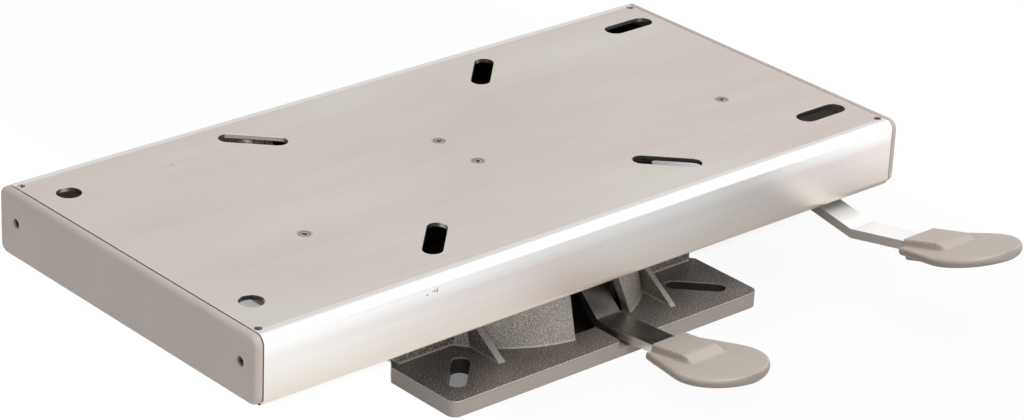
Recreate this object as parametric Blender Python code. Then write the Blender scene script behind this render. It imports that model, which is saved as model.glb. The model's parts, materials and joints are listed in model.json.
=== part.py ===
"""Swivel and slide base for a camper seat.

Frame: metres, +Z up. The origin is on the swivel axis at the underside of the cast foot.
+X runs along the platform, and both levers point towards -Y.
"""

import math

import bmesh
import bpy
from mathutils import Vector

# Clearances
FIT = 0.0003
OVERRUN = 0.001

# Platform cover, folded from one sheet
PLATFORM_LENGTH = 0.528
PLATFORM_DEPTH = 0.260
PLATFORM_HEIGHT = 0.046
SLIDE_OFFSET = -0.0272
COVER_SHEET = 0.003
COVER_BEND_RADIUS = 0.0028
COVER_LIP = 0.025
LIP_NOTCH_MARGIN = 0.004
COVER_RIDE_HEIGHT = 0.0019

# Holes and slots in the cover
HOLE_SHIFT_X = -0.0012
HOLE_SHIFT_Y = 0.0022
ROUND_HOLE_RADIUS = 0.008
ROUND_HOLE_INSET_X = 0.0285
ROUND_HOLE_INSET_Y = 0.038
END_SLOT_LENGTH = 0.040
END_SLOT_WIDTH = 0.0145
END_SLOT_INSET_X = 0.032
END_SLOT_INSET_Y = 0.037
SEAT_SLOT_LENGTH = 0.045
SEAT_SLOT_WIDTH = 0.013
SEAT_SLOT_X = 0.096
SEAT_SLOT_INSET_Y = 0.040
SLOT_TURN = math.radians(45.0)
CORNER_HOLE_RADIUS = 0.0025
CORNER_HOLE_INSET_X = 0.0094
CORNER_HOLE_INSET_Y = 0.0105

# End caps
CAP_THICKNESS = 0.005
CAP_SEAM = 0.0008
CAP_CORNER_RADIUS = 0.0065
CAP_ROUNDING = 0.003
CAP_LIFT = 0.0012
CAP_HOLE_RADIUS = 0.0033
CAP_HOLE_DROP = 0.0202
CAP_HOLE_NEAR_INSET = 0.015
CAP_HOLE_FAR_INSET = 0.018
CAP_SCREW_RADIUS = 0.0025
CAP_SCREW_RECESS = 0.0015
CAP_SCREW_LENGTH = 0.014

# Corner brackets behind the caps
CORNER_BRACKET_SHEET = 0.0025
CORNER_BRACKET_WIDTH = 0.030
CORNER_BRACKET_FOOT = 0.024
CORNER_BRACKET_HEIGHT = 0.031
CORNER_BRACKET_SIDE_GAP = 0.0005

# Cast foot
FOOT_LENGTH = 0.260
FOOT_DEPTH = 0.234
FOOT_PLATE = 0.011
FOOT_CORNER_RADIUS = 0.006
FOOT_EDGE = 0.0008
FLANGE_REACH = 0.0595
FLANGE_SHOULDER = 0.006
BEAM_THICKNESS = 0.008
BEAM_HEIGHT = 0.034
BARREL_HEIGHT = 0.052
BARREL_RADIUS = 0.1021
BARREL_DRAFT = math.radians(13.5)
BARREL_WALL = 0.007
BARREL_TOP = 0.008
BARREL_EDGE = 0.002
HUB_RADIUS = 0.025
INNER_RIB = 0.004
INNER_RIB_LIFT = 0.014
INNER_RIB_ANGLES = (30.0, 90.0, 150.0, 205.0, 335.0)
FOOT_SLOT_WIDTH = 0.012
FOOT_SLOT_INSET_X = 0.0191
FOOT_SLOT_INSET_Y = 0.0196
FOOT_SLOT_BARREL_GAP = 0.0176
LEFT_GUSSET_X = -0.0713
LEFT_GUSSET_THICKNESS = 0.005
LEFT_GUSSET_TOE = 0.0225
RIGHT_GUSSET_X = 0.069
RIGHT_GUSSET_THICKNESS = 0.004
RIGHT_GUSSET_TOE = 0.016
GUSSET_SLOPE = math.radians(33.0)
LEVER_WINDOW_LEFT = -0.0138
LEVER_WINDOW_RIGHT = 0.0400
LEVER_WINDOW_TOP_RIGHT = 0.0285
LEVER_NOTCH_LEFT = 0.0088
LEVER_NOTCH_RIGHT = 0.0348
LEVER_NOTCH_FLOOR = 0.0062
LEVER_NOTCH_DEPTH = 0.047
LEVER_NOTCH_RADIUS = 0.004
PAD_WINDOW_MARGIN = 0.002
PAD_WINDOW_BACK = 0.0065

# Swivel bearing
SPINDLE_RADIUS = 0.010
SPINDLE_SOCKET_DEPTH = 0.040
SPINDLE_END = 0.003
SPINDLE_WASHER_RADIUS = 0.020
SPINDLE_WASHER = 0.003
SPINDLE_NUT_ACROSS = 0.030
SPINDLE_NUT_HEIGHT = 0.011
THRUST_RING_INNER = 0.074
THRUST_RING_OUTER = 0.086
THRUST_RING = 0.0027
TURNTABLE_RADIUS = 0.095
TURNTABLE_THICKNESS = 0.006
TURNTABLE_EDGE = 0.001

# Slide carriage, a hat section that carries the glide blocks
CARRIAGE_END_ROOM = 0.139
CARRIAGE_SHEET = 0.003
CARRIAGE_SIDE_ROOM = 0.035
CARRIAGE_HEIGHT = 0.0244
CARRIAGE_FLANGE = 0.023
CARRIAGE_BEND_RADIUS = 0.003
CARRIAGE_BOLT_X = 0.070
CARRIAGE_BOLT_Y = 0.030
CARRIAGE_BOLT_RADIUS = 0.004
CARRIAGE_BOLT_HEAD_RADIUS = 0.007
CARRIAGE_BOLT_HEAD = 0.005
CARRIAGE_BOLT_HOLE_GAP = 0.0005
HEX_SOCKET_RADIUS = 0.0029
HEX_SOCKET_DEPTH = 0.0025
GLIDE_LENGTH = 0.022
GLIDE_CHAMFER = 0.0032
GLIDE_WALL_GAP = 0.001
BRAKE_STRIP_THICKNESS = 0.003
BRAKE_STRIP_WIDTH = 0.024
BRAKE_STRIP_END_GAP = 0.006
BRAKE_STRIP_Y = -0.053
BUFFER_RADIUS = 0.006
BUFFER_FOOT_RADIUS = 0.008
BUFFER_FOOT_HEIGHT = 0.003
BUFFER_HEIGHT = 0.025
BUFFER_Y = -0.014
BUFFER_GAP = 0.0007

# Slide lock, hung under the cover
SLIDE_TRAVEL_MIN = -0.050
SLIDE_TRAVEL_MAX = 0.110
SHAFT_RADIUS = 0.006
SHAFT_Y = -0.036
SHAFT_DROP = 0.022
SHAFT_INSET_LEFT = 0.090
SHAFT_INSET_RIGHT = 0.030
BRACKET_SHEET = 0.0025
BRACKET_BEND_RADIUS = 0.002
BRACKET_FLANGE = 0.016
BRACKET_REACH = 0.029
BRACKET_FRONT = -0.052
BRACKET_BACK = -0.008
LEFT_RIVET_INSET = 0.1076
RIGHT_RIVET_INSET = 0.071
SHAFT_RIVET_Y = -0.0365
RIVET_TO_LEG = 0.0085
HANGER_RIVET_X = -0.0023
HANGER_RIVET_BACK_Y = 0.0216
HANGER_RIVET_FRONT_Y = -0.0166
HANGER_BACK = 0.032
HANGER_LEG_BACK = -0.024
RIVET_RADIUS = 0.0026
RIVET_HEAD_RADIUS = 0.0045
RIVET_HEAD = 0.0016
RIVET_SINK = 0.0002
CLIP_RADIUS = 0.010
CLIP_THICKNESS = 0.0012
CLIP_GROOVE = 0.0012
LEVER_HUB_RADIUS = 0.010
CAM_LENGTH = 0.022
CAM_SHOE_LENGTH = 0.016
CAM_SIDE_GAP = 0.001

# Levers: flat bar with a moulded paddle
LEVER_WIDTH = 0.020
LEVER_BAR = 0.0063
LEVER_BEND_RADIUS = 0.003
SLIDE_LEVER_INSET = 0.045
SWIVEL_LEVER_X = 0.0228
SWIVEL_PIN_RADIUS = 0.004
SWIVEL_PIN_Y = -0.056
SWIVEL_PIN_Z = 0.026
SWIVEL_HUB_RADIUS = 0.007
PIN_CLIP_RADIUS = 0.007
PIN_CLIP_THICKNESS = 0.001
LEVER_CHEEK = 0.004
LEVER_CHEEK_MARGIN = 0.002
LEVER_CHEEK_BACK = -0.018
BRAKE_PAD_LENGTH = 0.015
BRAKE_PAD_MARGIN = 0.001
SPRING_WIRE = 0.0007
SPRING_PITCH = 0.0019
SPRING_TURNS = 5
SPRING_LEG = 0.010

# Top surface of each bar up to its paddle's mouth, as (y, z) from its turning axis
SWIVEL_BAR_PATH = (
    (0.026, 0.0125),
    (-0.0040, 0.0125),
    (-0.0340, -0.0125),
    (-0.0887, -0.0088),
)
SLIDE_BAR_PATH = (
    (0.000, -0.0065),
    (-0.0640, -0.0277),
    (-0.1097, -0.0354),
    (-0.1600, -0.0254),
)

# Paddle
PADDLE_LENGTH = 0.0763
PADDLE_DISC_RADIUS = 0.0319
PADDLE_DISC_THICKNESS = 0.006
PADDLE_ROUNDING = 0.0022
PADDLE_MOUTH_WIDTH = 0.040
PADDLE_DROP = 0.0005
PADDLE_PITCH = math.radians(3.9)
SOCKET_WIDTH = 0.031
SOCKET_LENGTH = 0.0295
SOCKET_RISE = 0.003
SOCKET_FLOOR = 0.0045
SOCKET_RAMP = 0.009
SOCKET_DEPTH = 0.018
SOCKET_ROUNDING = 0.0015
SOCKET_EDGE_ANGLE = math.radians(40.0)

# Faceting
ROUND_STEPS = 32
BARREL_STEPS = 72
BEND_STEPS = 4
SLOT_STEPS = 8
SMALL_STEPS = 16
WIRE_STEPS = 6
HEX_SIDES = 6
COIL_STEPS = 14
PADDLE_STEPS = 3

# Derived heights, from the floor up
RING_BASE = BARREL_HEIGHT + FIT
TURNTABLE_BASE = RING_BASE + THRUST_RING + FIT
TURNTABLE_TOP = TURNTABLE_BASE + TURNTABLE_THICKNESS
WEB_BASE = TURNTABLE_TOP + FIT
WEB_TOP = WEB_BASE + CARRIAGE_SHEET
FLANGE_TOP = WEB_BASE + CARRIAGE_HEIGHT
COVER_BASE = TURNTABLE_TOP + COVER_RIDE_HEIGHT
COVER_TOP = COVER_BASE + PLATFORM_HEIGHT
COVER_CEILING = COVER_TOP - COVER_SHEET
LIP_TOP = COVER_BASE + COVER_SHEET
SHAFT_Z = COVER_TOP - SHAFT_DROP
HANG_TOP = COVER_CEILING - FIT

# Derived places across the platform
HALF_LENGTH = PLATFORM_LENGTH / 2
HALF_DEPTH = PLATFORM_DEPTH / 2
CAP_INNER_X = HALF_LENGTH - CAP_THICKNESS
COVER_HALF = CAP_INNER_X - CAP_SEAM
INNER_WALL_Y = HALF_DEPTH - COVER_SHEET
HALF_CARRIAGE = HALF_LENGTH - CARRIAGE_END_ROOM
CARRIAGE_WALL_Y = HALF_DEPTH - CARRIAGE_SIDE_ROOM
ROUND_HOLE_X = HALF_LENGTH - ROUND_HOLE_INSET_X
ROUND_HOLE_Y = HALF_DEPTH - ROUND_HOLE_INSET_Y
END_SLOT_X = HALF_LENGTH - END_SLOT_INSET_X
END_SLOT_Y = HALF_DEPTH - END_SLOT_INSET_Y
SEAT_SLOT_Y = HALF_DEPTH - SEAT_SLOT_INSET_Y
SHAFT_END_LEFT = SHAFT_INSET_LEFT - HALF_LENGTH
SHAFT_END_RIGHT = HALF_LENGTH - SHAFT_INSET_RIGHT
SLIDE_LEVER_X = HALF_LENGTH - SLIDE_LEVER_INSET
LEFT_RIVET_X = LEFT_RIVET_INSET - HALF_LENGTH
RIGHT_RIVET_X = HALF_LENGTH - RIGHT_RIVET_INSET
LEFT_LEG_X = LEFT_RIVET_X - RIVET_TO_LEG
RIGHT_LEG_X = RIGHT_RIVET_X + RIVET_TO_LEG
HANGER_LEG_X = HANGER_RIVET_X + RIVET_TO_LEG


def clear_scene():
    for item in list(bpy.data.objects):
        bpy.data.objects.remove(item, do_unlink=True)


def make_material(name, colour, metallic, roughness):
    material = bpy.data.materials.new(name)
    material.use_nodes = True
    shader = material.node_tree.nodes["Principled BSDF"]
    shader.inputs["Base Color"].default_value = (*colour, 1.0)
    shader.inputs["Metallic"].default_value = metallic
    shader.inputs["Roughness"].default_value = roughness
    return material


def brushed_steel():
    return make_material("brushed_steel", (0.63, 0.61, 0.58), 1.0, 0.38)


def zinc_plate():
    return make_material("zinc_plate", (0.55, 0.54, 0.52), 1.0, 0.35)


def cast_iron():
    return make_material("cast_iron", (0.19, 0.17, 0.155), 0.7, 0.55)


def cap_plastic():
    return make_material("cap_plastic", (0.38, 0.34, 0.32), 0.0, 0.5)


def paddle_plastic():
    return make_material("paddle_plastic", (0.45, 0.40, 0.36), 0.0, 0.5)


def nylon():
    return make_material("nylon", (0.75, 0.74, 0.70), 0.0, 0.45)


def friction_lining():
    return make_material("friction_lining", (0.12, 0.10, 0.09), 0.0, 0.8)


def rubber():
    return make_material("rubber", (0.03, 0.03, 0.03), 0.0, 0.8)


def spring_steel():
    return make_material("spring_steel", (0.35, 0.34, 0.33), 1.0, 0.3)


# Outlines, as lists of flat points


def arc(centre, radius, start, end, steps):
    """Points on a circle from one angle to another, both ends included."""
    turns = [start + (end - start) * i / steps for i in range(steps + 1)]
    return [(centre[0] + radius * math.cos(a), centre[1] + radius * math.sin(a)) for a in turns]


def circle(radius, steps, centre=(0.0, 0.0)):
    return arc(centre, radius, 0.0, math.tau, steps)[:-1]


def rounded_rectangle(low, high, radius, steps):
    """A rectangle between two corners, with round corners."""
    corners = (
        (high[0] - radius, high[1] - radius, 0.0),
        (low[0] + radius, high[1] - radius, math.pi / 2),
        (low[0] + radius, low[1] + radius, math.pi),
        (high[0] - radius, low[1] + radius, 3 * math.pi / 2),
    )
    points = []
    for x, y, start in corners:
        points += arc((x, y), radius, start, start + math.pi / 2, steps)
    return points


def slot(length, width, steps):
    """A slot along X with full round ends."""
    radius = width / 2
    reach = length / 2 - radius
    right = arc((reach, 0.0), radius, -math.pi / 2, math.pi / 2, steps)
    left = arc((-reach, 0.0), radius, math.pi / 2, 3 * math.pi / 2, steps)
    return right + left


def turned_and_moved(points, turn, centre):
    c, s = math.cos(turn), math.sin(turn)
    return [(centre[0] + c * x - s * y, centre[1] + s * x + c * y) for x, y in points]


def bent_line(path, radii, steps):
    """Points and left-hand normals along a path whose corners are bent to the given middle radii."""
    samples = []
    last = len(path) - 1
    for i, corner in enumerate(path):
        here = Vector(corner)
        if i in (0, last):
            along = (Vector(path[1]) - here) if i == 0 else (here - Vector(path[i - 1]))
            along.normalize()
            samples.append((here, Vector((-along.y, along.x))))
            continue
        before = (here - Vector(path[i - 1])).normalized()
        after = (Vector(path[i + 1]) - here).normalized()
        turn = math.atan2(before.x * after.y - before.y * after.x, before.dot(after))
        radius = radii[i - 1]
        side = math.copysign(1.0, turn)
        start = here - before * (radius * math.tan(abs(turn) / 2))
        normal = Vector((-before.y, before.x))
        centre = start + normal * (radius * side)
        for k in range(steps + 1):
            a = turn * k / steps
            c, s = math.cos(a), math.sin(a)
            spun = Vector((normal.x * c - normal.y * s, normal.x * s + normal.y * c))
            samples.append((centre - spun * (radius * side), spun))
    return samples


def folded_strip(path, sheet, inner_radius, steps):
    """The section of a strip of sheet, bent along the middle line that the path gives."""
    radii = [inner_radius + sheet / 2] * (len(path) - 2)
    samples = bent_line(path, radii, steps)
    left = [p + n * (sheet / 2) for p, n in samples]
    right = [p - n * (sheet / 2) for p, n in samples]
    return [tuple(p) for p in left + right[::-1]]


# Meshes


def new_object(name, mesh_data, material):
    bmesh.ops.recalc_face_normals(mesh_data, faces=mesh_data.faces)
    mesh = bpy.data.meshes.new(name)
    mesh_data.to_mesh(mesh)
    mesh_data.free()
    if material is not None:
        mesh.materials.append(material)
    result = bpy.data.objects.new(name, mesh)
    bpy.context.scene.collection.objects.link(result)
    return result


def lofted(name, loops, material=None):
    """A closed solid through loops of 3-D points, all with the same count."""
    bm = bmesh.new()
    rings = [[bm.verts.new(point) for point in loop] for loop in loops]
    count = len(loops[0])
    for lower, upper in zip(rings, rings[1:]):
        for i in range(count):
            j = (i + 1) % count
            bm.faces.new((lower[i], lower[j], upper[j], upper[i]))
    bm.faces.new(rings[0][::-1])
    bm.faces.new(rings[-1])
    return new_object(name, bm, material)


def on_axis(points, height, axis):
    """Flat points placed at a height along X, Y or Z."""
    if axis == "X":
        return [(height, a, b) for a, b in points]
    if axis == "Y":
        return [(a, height, b) for a, b in points]
    return [(a, b, height) for a, b in points]


def extruded(name, points, low, high, axis="Z", material=None):
    return lofted(name, [on_axis(points, low, axis), on_axis(points, high, axis)], material)


def block(name, low, high, material=None):
    """A box between two opposite corners."""
    corners = [(low[0], low[1]), (high[0], low[1]), (high[0], high[1]), (low[0], high[1])]
    return extruded(name, corners, low[2], high[2], "Z", material)


def turned(name, profile, steps, axis="Z", centre=(0.0, 0.0), material=None):
    """A solid of revolution. The profile is (radius, height) from the lower middle to the upper middle."""
    loops = [on_axis(circle(radius, steps, centre), height, axis) for radius, height in profile]
    return lofted(name, loops, material)


def turned_ring(name, profile, steps, axis="Z", centre=(0.0, 0.0), material=None):
    """A ring of revolution with a bore. The profile is a closed run of (radius, height)."""
    bm = bmesh.new()
    loops = [on_axis(circle(radius, steps, centre), height, axis) for radius, height in profile]
    rings = [[bm.verts.new(point) for point in loop] for loop in loops]
    for k, lower in enumerate(rings):
        upper = rings[(k + 1) % len(rings)]
        for i in range(steps):
            j = (i + 1) % steps
            bm.faces.new((lower[i], lower[j], upper[j], upper[i]))
    return new_object(name, bm, material)


def washer(name, inner, outer, low, high, steps, axis="Z", centre=(0.0, 0.0), material=None):
    profile = ((inner, low), (outer, low), (outer, high), (inner, high))
    return turned_ring(name, profile, steps, axis, centre, material)


def combine(target, helper, operation):
    helper.hide_render = True
    helper.display_type = "WIRE"
    helper.parent = target
    modifier = target.modifiers.new(helper.name, "BOOLEAN")
    modifier.operation = operation
    modifier.object = helper
    modifier.solver = "EXACT"


def cut(target, helper):
    combine(target, helper, "DIFFERENCE")


def join(target, helper):
    combine(target, helper, "UNION")


def smooth(target, angle=math.radians(35.0)):
    mesh = target.data
    mesh.shade_smooth()
    mesh.set_sharp_from_angle(angle=angle)


def carry(parent, *pieces):
    for piece in pieces:
        piece.parent = parent
    return pieces


def axis_empty(name, place, parent=None):
    empty = bpy.data.objects.new(name, None)
    bpy.context.scene.collection.objects.link(empty)
    empty.location = place
    empty.parent = parent
    return empty


# Foot


def flange_outline(side):
    """One flange of the H-shaped foot, seen from above. Side is -1 at the front and 1 at the back."""
    half_x = FOOT_LENGTH / 2
    outer_y = FOOT_DEPTH / 2
    inner_y = outer_y - FLANGE_REACH
    inner_edge = inner_y - BEAM_THICKNESS
    radius = FOOT_CORNER_RADIUS
    front = arc((half_x - radius, -outer_y + radius), radius, -math.pi / 2, 0.0, BEND_STEPS)
    right = front + [(half_x, -inner_y), (half_x - FLANGE_SHOULDER, -inner_edge)]
    left = [(-x, y) for x, y in reversed(right)]
    return [(x, -side * y) for x, y in right + left]


def barrel_radius(height):
    return BARREL_RADIUS - height * math.tan(BARREL_DRAFT)


def barrel_shell(name):
    lower = (barrel_radius(0.0), 0.0)
    upper = (barrel_radius(BARREL_HEIGHT - BARREL_EDGE), BARREL_HEIGHT - BARREL_EDGE)
    crown = (barrel_radius(BARREL_HEIGHT) - BARREL_EDGE, BARREL_HEIGHT)
    return turned(name, (lower, upper, crown), BARREL_STEPS)


def barrel_hollow(name):
    ceiling = BARREL_HEIGHT - BARREL_TOP
    profile = (
        (HUB_RADIUS, -OVERRUN),
        (barrel_radius(-OVERRUN) - BARREL_WALL, -OVERRUN),
        (barrel_radius(ceiling) - BARREL_WALL, ceiling),
        (HUB_RADIUS, ceiling),
    )
    return turned_ring(name, profile, BARREL_STEPS)


def gusset(name, x, thickness, toe):
    """A triangular rib along Y, from its toe on the flange up to the barrel."""
    toe_y = -FOOT_DEPTH / 2 + toe
    root_y = -barrel_radius(FOOT_PLATE) / 2
    root_z = FOOT_PLATE + (root_y - toe_y) * math.tan(GUSSET_SLOPE)
    rise = min(root_z, BARREL_HEIGHT - BARREL_TOP)
    root_y = toe_y + (rise - FOOT_PLATE) / math.tan(GUSSET_SLOPE)
    floor = FOOT_PLATE / 2
    outline = [(toe_y, floor), (root_y, floor), (root_y, rise), (toe_y, FOOT_PLATE)]
    return extruded(name, outline, x - thickness / 2, x + thickness / 2, "X")


def inner_rib(name, degrees):
    """A radial web between the hub and the barrel wall."""
    start = HUB_RADIUS - OVERRUN
    end = barrel_radius(BARREL_HEIGHT) - BARREL_WALL / 2
    half = INNER_RIB / 2
    corners = [(start, -half), (end, -half), (end, half), (start, half)]
    outline = turned_and_moved(corners, math.radians(degrees), (0.0, 0.0))
    return extruded(name, outline, INNER_RIB_LIFT, BARREL_HEIGHT - BARREL_TOP / 2)


def cheek_places():
    """Middle X of the two webs that hold the swivel lever's pin."""
    left = LEVER_WINDOW_LEFT - LEVER_CHEEK / 2 + LEVER_CHEEK_MARGIN
    right = LEVER_WINDOW_RIGHT + LEVER_CHEEK_MARGIN + LEVER_CHEEK / 2
    return left, right


def make_foot(material):
    foot = extruded("foot_casting", flange_outline(-1), 0.0, FOOT_PLATE, "Z", material)
    join(foot, extruded("foot_back_flange", flange_outline(1), 0.0, FOOT_PLATE))
    inner_y = FOOT_DEPTH / 2 - FLANGE_REACH
    beam_reach = FOOT_LENGTH / 2 - FLANGE_SHOULDER
    for label, side in (("front", -1), ("back", 1)):
        edges = sorted((side * inner_y, side * (inner_y - BEAM_THICKNESS)))
        low = (-beam_reach, edges[0], FOOT_PLATE / 2)
        high = (beam_reach, edges[1], BEAM_HEIGHT)
        join(foot, block("foot_beam_" + label, low, high))
    join(foot, barrel_shell("foot_barrel"))
    join(foot, gusset("foot_gusset_left", LEFT_GUSSET_X, LEFT_GUSSET_THICKNESS, LEFT_GUSSET_TOE))
    join(foot, gusset("foot_gusset_right", RIGHT_GUSSET_X, RIGHT_GUSSET_THICKNESS, RIGHT_GUSSET_TOE))
    cut(foot, barrel_hollow("foot_hollow"))
    for degrees in INNER_RIB_ANGLES:
        join(foot, inner_rib("foot_rib_%03d" % degrees, degrees))
    for label, x in zip(("left", "right"), cheek_places()):
        reach = barrel_radius(BARREL_HEIGHT) - BARREL_WALL / 2
        cheek_front = -math.sqrt(reach**2 - (abs(x) + LEVER_CHEEK / 2) ** 2)
        low = (x - LEVER_CHEEK / 2, cheek_front, INNER_RIB_LIFT)
        high = (x + LEVER_CHEEK / 2, LEVER_CHEEK_BACK, BARREL_HEIGHT - BARREL_TOP / 2)
        join(foot, block("foot_cheek_" + label, low, high))
    cut_foot_openings(foot)
    smooth(foot)
    return foot


def foot_slot_run():
    """Middle (x, y) and straight run of a floor slot, from its corner inwards to its gap from the barrel."""
    outer_x = FOOT_LENGTH / 2 - FOOT_SLOT_INSET_X
    outer_y = FOOT_DEPTH / 2 - FOOT_SLOT_INSET_Y
    c, s = math.cos(SLOT_TURN), math.sin(SLOT_TURN)
    across = outer_x * s - outer_y * c
    inner = math.sqrt((BARREL_RADIUS + FOOT_SLOT_BARREL_GAP) ** 2 - across**2)
    run = outer_x * c + outer_y * s - inner
    return (outer_x - c * run / 2, outer_y - s * run / 2), run


def cut_foot_openings(foot):
    middle, run = foot_slot_run()
    for x in (-middle[0], middle[0]):
        for y in (-middle[1], middle[1]):
            outline = slot(run + FOOT_SLOT_WIDTH, FOOT_SLOT_WIDTH, SLOT_STEPS)
            outline = turned_and_moved(outline, math.copysign(SLOT_TURN, x * y), (x, y))
            cut(foot, extruded("foot_slot_cutter", outline, -OVERRUN, FOOT_PLATE + OVERRUN))
    front = -FOOT_DEPTH / 2
    notch_back = front + LEVER_NOTCH_DEPTH
    radius = LEVER_NOTCH_RADIUS
    outline = [
        (LEVER_NOTCH_RIGHT, front - OVERRUN),
        (LEVER_NOTCH_RIGHT, notch_back),
        (LEVER_NOTCH_LEFT, notch_back),
    ]
    outline += arc((LEVER_NOTCH_LEFT - radius, front + radius), radius, 0.0, -math.pi / 2, BEND_STEPS)
    outline += [(LEVER_NOTCH_LEFT - radius, front - OVERRUN)]
    cut(foot, extruded("foot_notch_cutter", outline, LEVER_NOTCH_FLOOR, FOOT_PLATE + FIT))
    ceiling = BARREL_HEIGHT - BARREL_TOP
    window = [
        (LEVER_WINDOW_LEFT, FOOT_PLATE),
        (LEVER_WINDOW_RIGHT, FOOT_PLATE),
        (LEVER_WINDOW_TOP_RIGHT, ceiling),
        (LEVER_WINDOW_LEFT, ceiling),
    ]
    cut(foot, extruded("foot_window_cutter", window, -BARREL_RADIUS, notch_back + BARREL_WALL, "Y"))
    pad_half = LEVER_WIDTH / 2 - BRAKE_PAD_MARGIN + PAD_WINDOW_MARGIN
    pad_back = SWIVEL_PIN_Y + SWIVEL_BAR_PATH[0][0]
    pad_front = pad_back - BRAKE_PAD_LENGTH - 2 * PAD_WINDOW_MARGIN
    low = (SWIVEL_LEVER_X - pad_half, pad_front, ceiling - OVERRUN)
    high = (SWIVEL_LEVER_X + pad_half, pad_back + PAD_WINDOW_BACK, BARREL_HEIGHT + OVERRUN)
    cut(foot, block("foot_pad_window_cutter", low, high))
    bore = turned(
        "foot_spindle_cutter",
        (
            (SPINDLE_RADIUS + FIT, BARREL_HEIGHT - SPINDLE_SOCKET_DEPTH),
            (SPINDLE_RADIUS + FIT, BARREL_HEIGHT + OVERRUN),
        ),
        ROUND_STEPS,
    )
    cut(foot, bore)
    left, right = cheek_places()
    pin_hole = turned(
        "foot_pin_cutter",
        ((SWIVEL_PIN_RADIUS + FIT, left - LEVER_CHEEK), (SWIVEL_PIN_RADIUS + FIT, right + LEVER_CHEEK)),
        SMALL_STEPS,
        "X",
        (SWIVEL_PIN_Y, SWIVEL_PIN_Z),
    )
    cut(foot, pin_hole)


def make_spindle(material):
    base = BARREL_HEIGHT - SPINDLE_SOCKET_DEPTH + FIT
    top = WEB_TOP + SPINDLE_WASHER + SPINDLE_NUT_HEIGHT + 2 * FIT + SPINDLE_END
    chamfer = SPINDLE_END / 2
    profile = (
        (SPINDLE_RADIUS, base),
        (SPINDLE_RADIUS, top - chamfer),
        (SPINDLE_RADIUS - chamfer, top),
    )
    spindle = turned("spindle", profile, ROUND_STEPS, material=material)
    smooth(spindle)
    return spindle


def make_spindle_fasteners(material):
    bore = SPINDLE_RADIUS + FIT
    low = WEB_TOP + FIT
    high = low + SPINDLE_WASHER
    outer = SPINDLE_WASHER_RADIUS
    flat = washer("spindle_washer", bore, outer, low, high, ROUND_STEPS, material=material)
    low = high + FIT
    high = low + SPINDLE_NUT_HEIGHT
    corner = SPINDLE_NUT_ACROSS / math.sqrt(3.0)
    nut = extruded("spindle_nut", circle(corner, HEX_SIDES), low, high, "Z", material)
    cut(nut, turned("nut_bore_cutter", ((bore, low - OVERRUN), (bore, high + OVERRUN)), ROUND_STEPS))
    return flat, nut


def make_thrust_ring(material):
    low, high = RING_BASE, RING_BASE + THRUST_RING
    inner, outer = THRUST_RING_INNER, THRUST_RING_OUTER
    ring = washer("thrust_ring", inner, outer, low, high, ROUND_STEPS, material=material)
    smooth(ring)
    return ring


# Turntable and carriage


def bolt_places():
    rows = (-CARRIAGE_BOLT_Y, CARRIAGE_BOLT_Y)
    return [(x, y) for x in (-CARRIAGE_BOLT_X, CARRIAGE_BOLT_X) for y in rows]


def make_turntable(material):
    profile = (
        (SPINDLE_RADIUS + FIT, TURNTABLE_BASE),
        (TURNTABLE_RADIUS - TURNTABLE_EDGE, TURNTABLE_BASE),
        (TURNTABLE_RADIUS, TURNTABLE_BASE + TURNTABLE_EDGE),
        (TURNTABLE_RADIUS, TURNTABLE_TOP - TURNTABLE_EDGE),
        (TURNTABLE_RADIUS - TURNTABLE_EDGE, TURNTABLE_TOP),
        (SPINDLE_RADIUS + FIT, TURNTABLE_TOP),
    )
    disc = turned_ring("turntable_disc", profile, 2 * ROUND_STEPS, material=material)
    radius = CARRIAGE_BOLT_RADIUS + FIT
    for x, y in bolt_places():
        low, high = TURNTABLE_BASE - OVERRUN, TURNTABLE_TOP + OVERRUN
        cut(disc, turned("turntable_bolt_cutter", ((radius, low), (radius, high)), SMALL_STEPS, "Z", (x, y)))
    smooth(disc)
    return disc


def make_carriage(material):
    half = CARRIAGE_SHEET / 2
    web_z = WEB_BASE + half
    flange_z = FLANGE_TOP - half
    wall_y = CARRIAGE_WALL_Y - half
    flange_y = CARRIAGE_WALL_Y + CARRIAGE_FLANGE
    path = [
        (-flange_y, flange_z),
        (-wall_y, flange_z),
        (-wall_y, web_z),
        (wall_y, web_z),
        (wall_y, flange_z),
        (flange_y, flange_z),
    ]
    section = folded_strip(path, CARRIAGE_SHEET, CARRIAGE_BEND_RADIUS, BEND_STEPS)
    carriage = extruded("carriage_channel", section, -HALF_CARRIAGE, HALF_CARRIAGE, "X", material)
    low, high = WEB_BASE - OVERRUN, WEB_TOP + OVERRUN
    bore = SPINDLE_RADIUS + FIT
    cut(carriage, turned("carriage_bore_cutter", ((bore, low), (bore, high)), ROUND_STEPS))
    radius = CARRIAGE_BOLT_RADIUS + CARRIAGE_BOLT_HOLE_GAP
    for x, y in bolt_places():
        cut(carriage, turned("carriage_bolt_cutter", ((radius, low), (radius, high)), SMALL_STEPS, "Z", (x, y)))
    smooth(carriage)
    return carriage


def make_carriage_bolts(material):
    bolts = []
    seat = WEB_TOP + FIT
    head_top = seat + CARRIAGE_BOLT_HEAD
    for i, place in enumerate(bolt_places(), start=1):
        profile = (
            (CARRIAGE_BOLT_RADIUS, TURNTABLE_BASE + FIT),
            (CARRIAGE_BOLT_RADIUS, seat),
            (CARRIAGE_BOLT_HEAD_RADIUS, seat),
            (CARRIAGE_BOLT_HEAD_RADIUS, head_top - HEX_SOCKET_DEPTH),
            (CARRIAGE_BOLT_RADIUS, head_top),
        )
        bolt = turned("carriage_bolt_%d" % i, profile, SMALL_STEPS, "Z", place, material)
        socket = circle(HEX_SOCKET_RADIUS, HEX_SIDES, place)
        cut(bolt, extruded("hex_socket_cutter", socket, head_top - HEX_SOCKET_DEPTH, head_top + OVERRUN))
        smooth(bolt)
        bolts.append(bolt)
    return bolts


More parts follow.
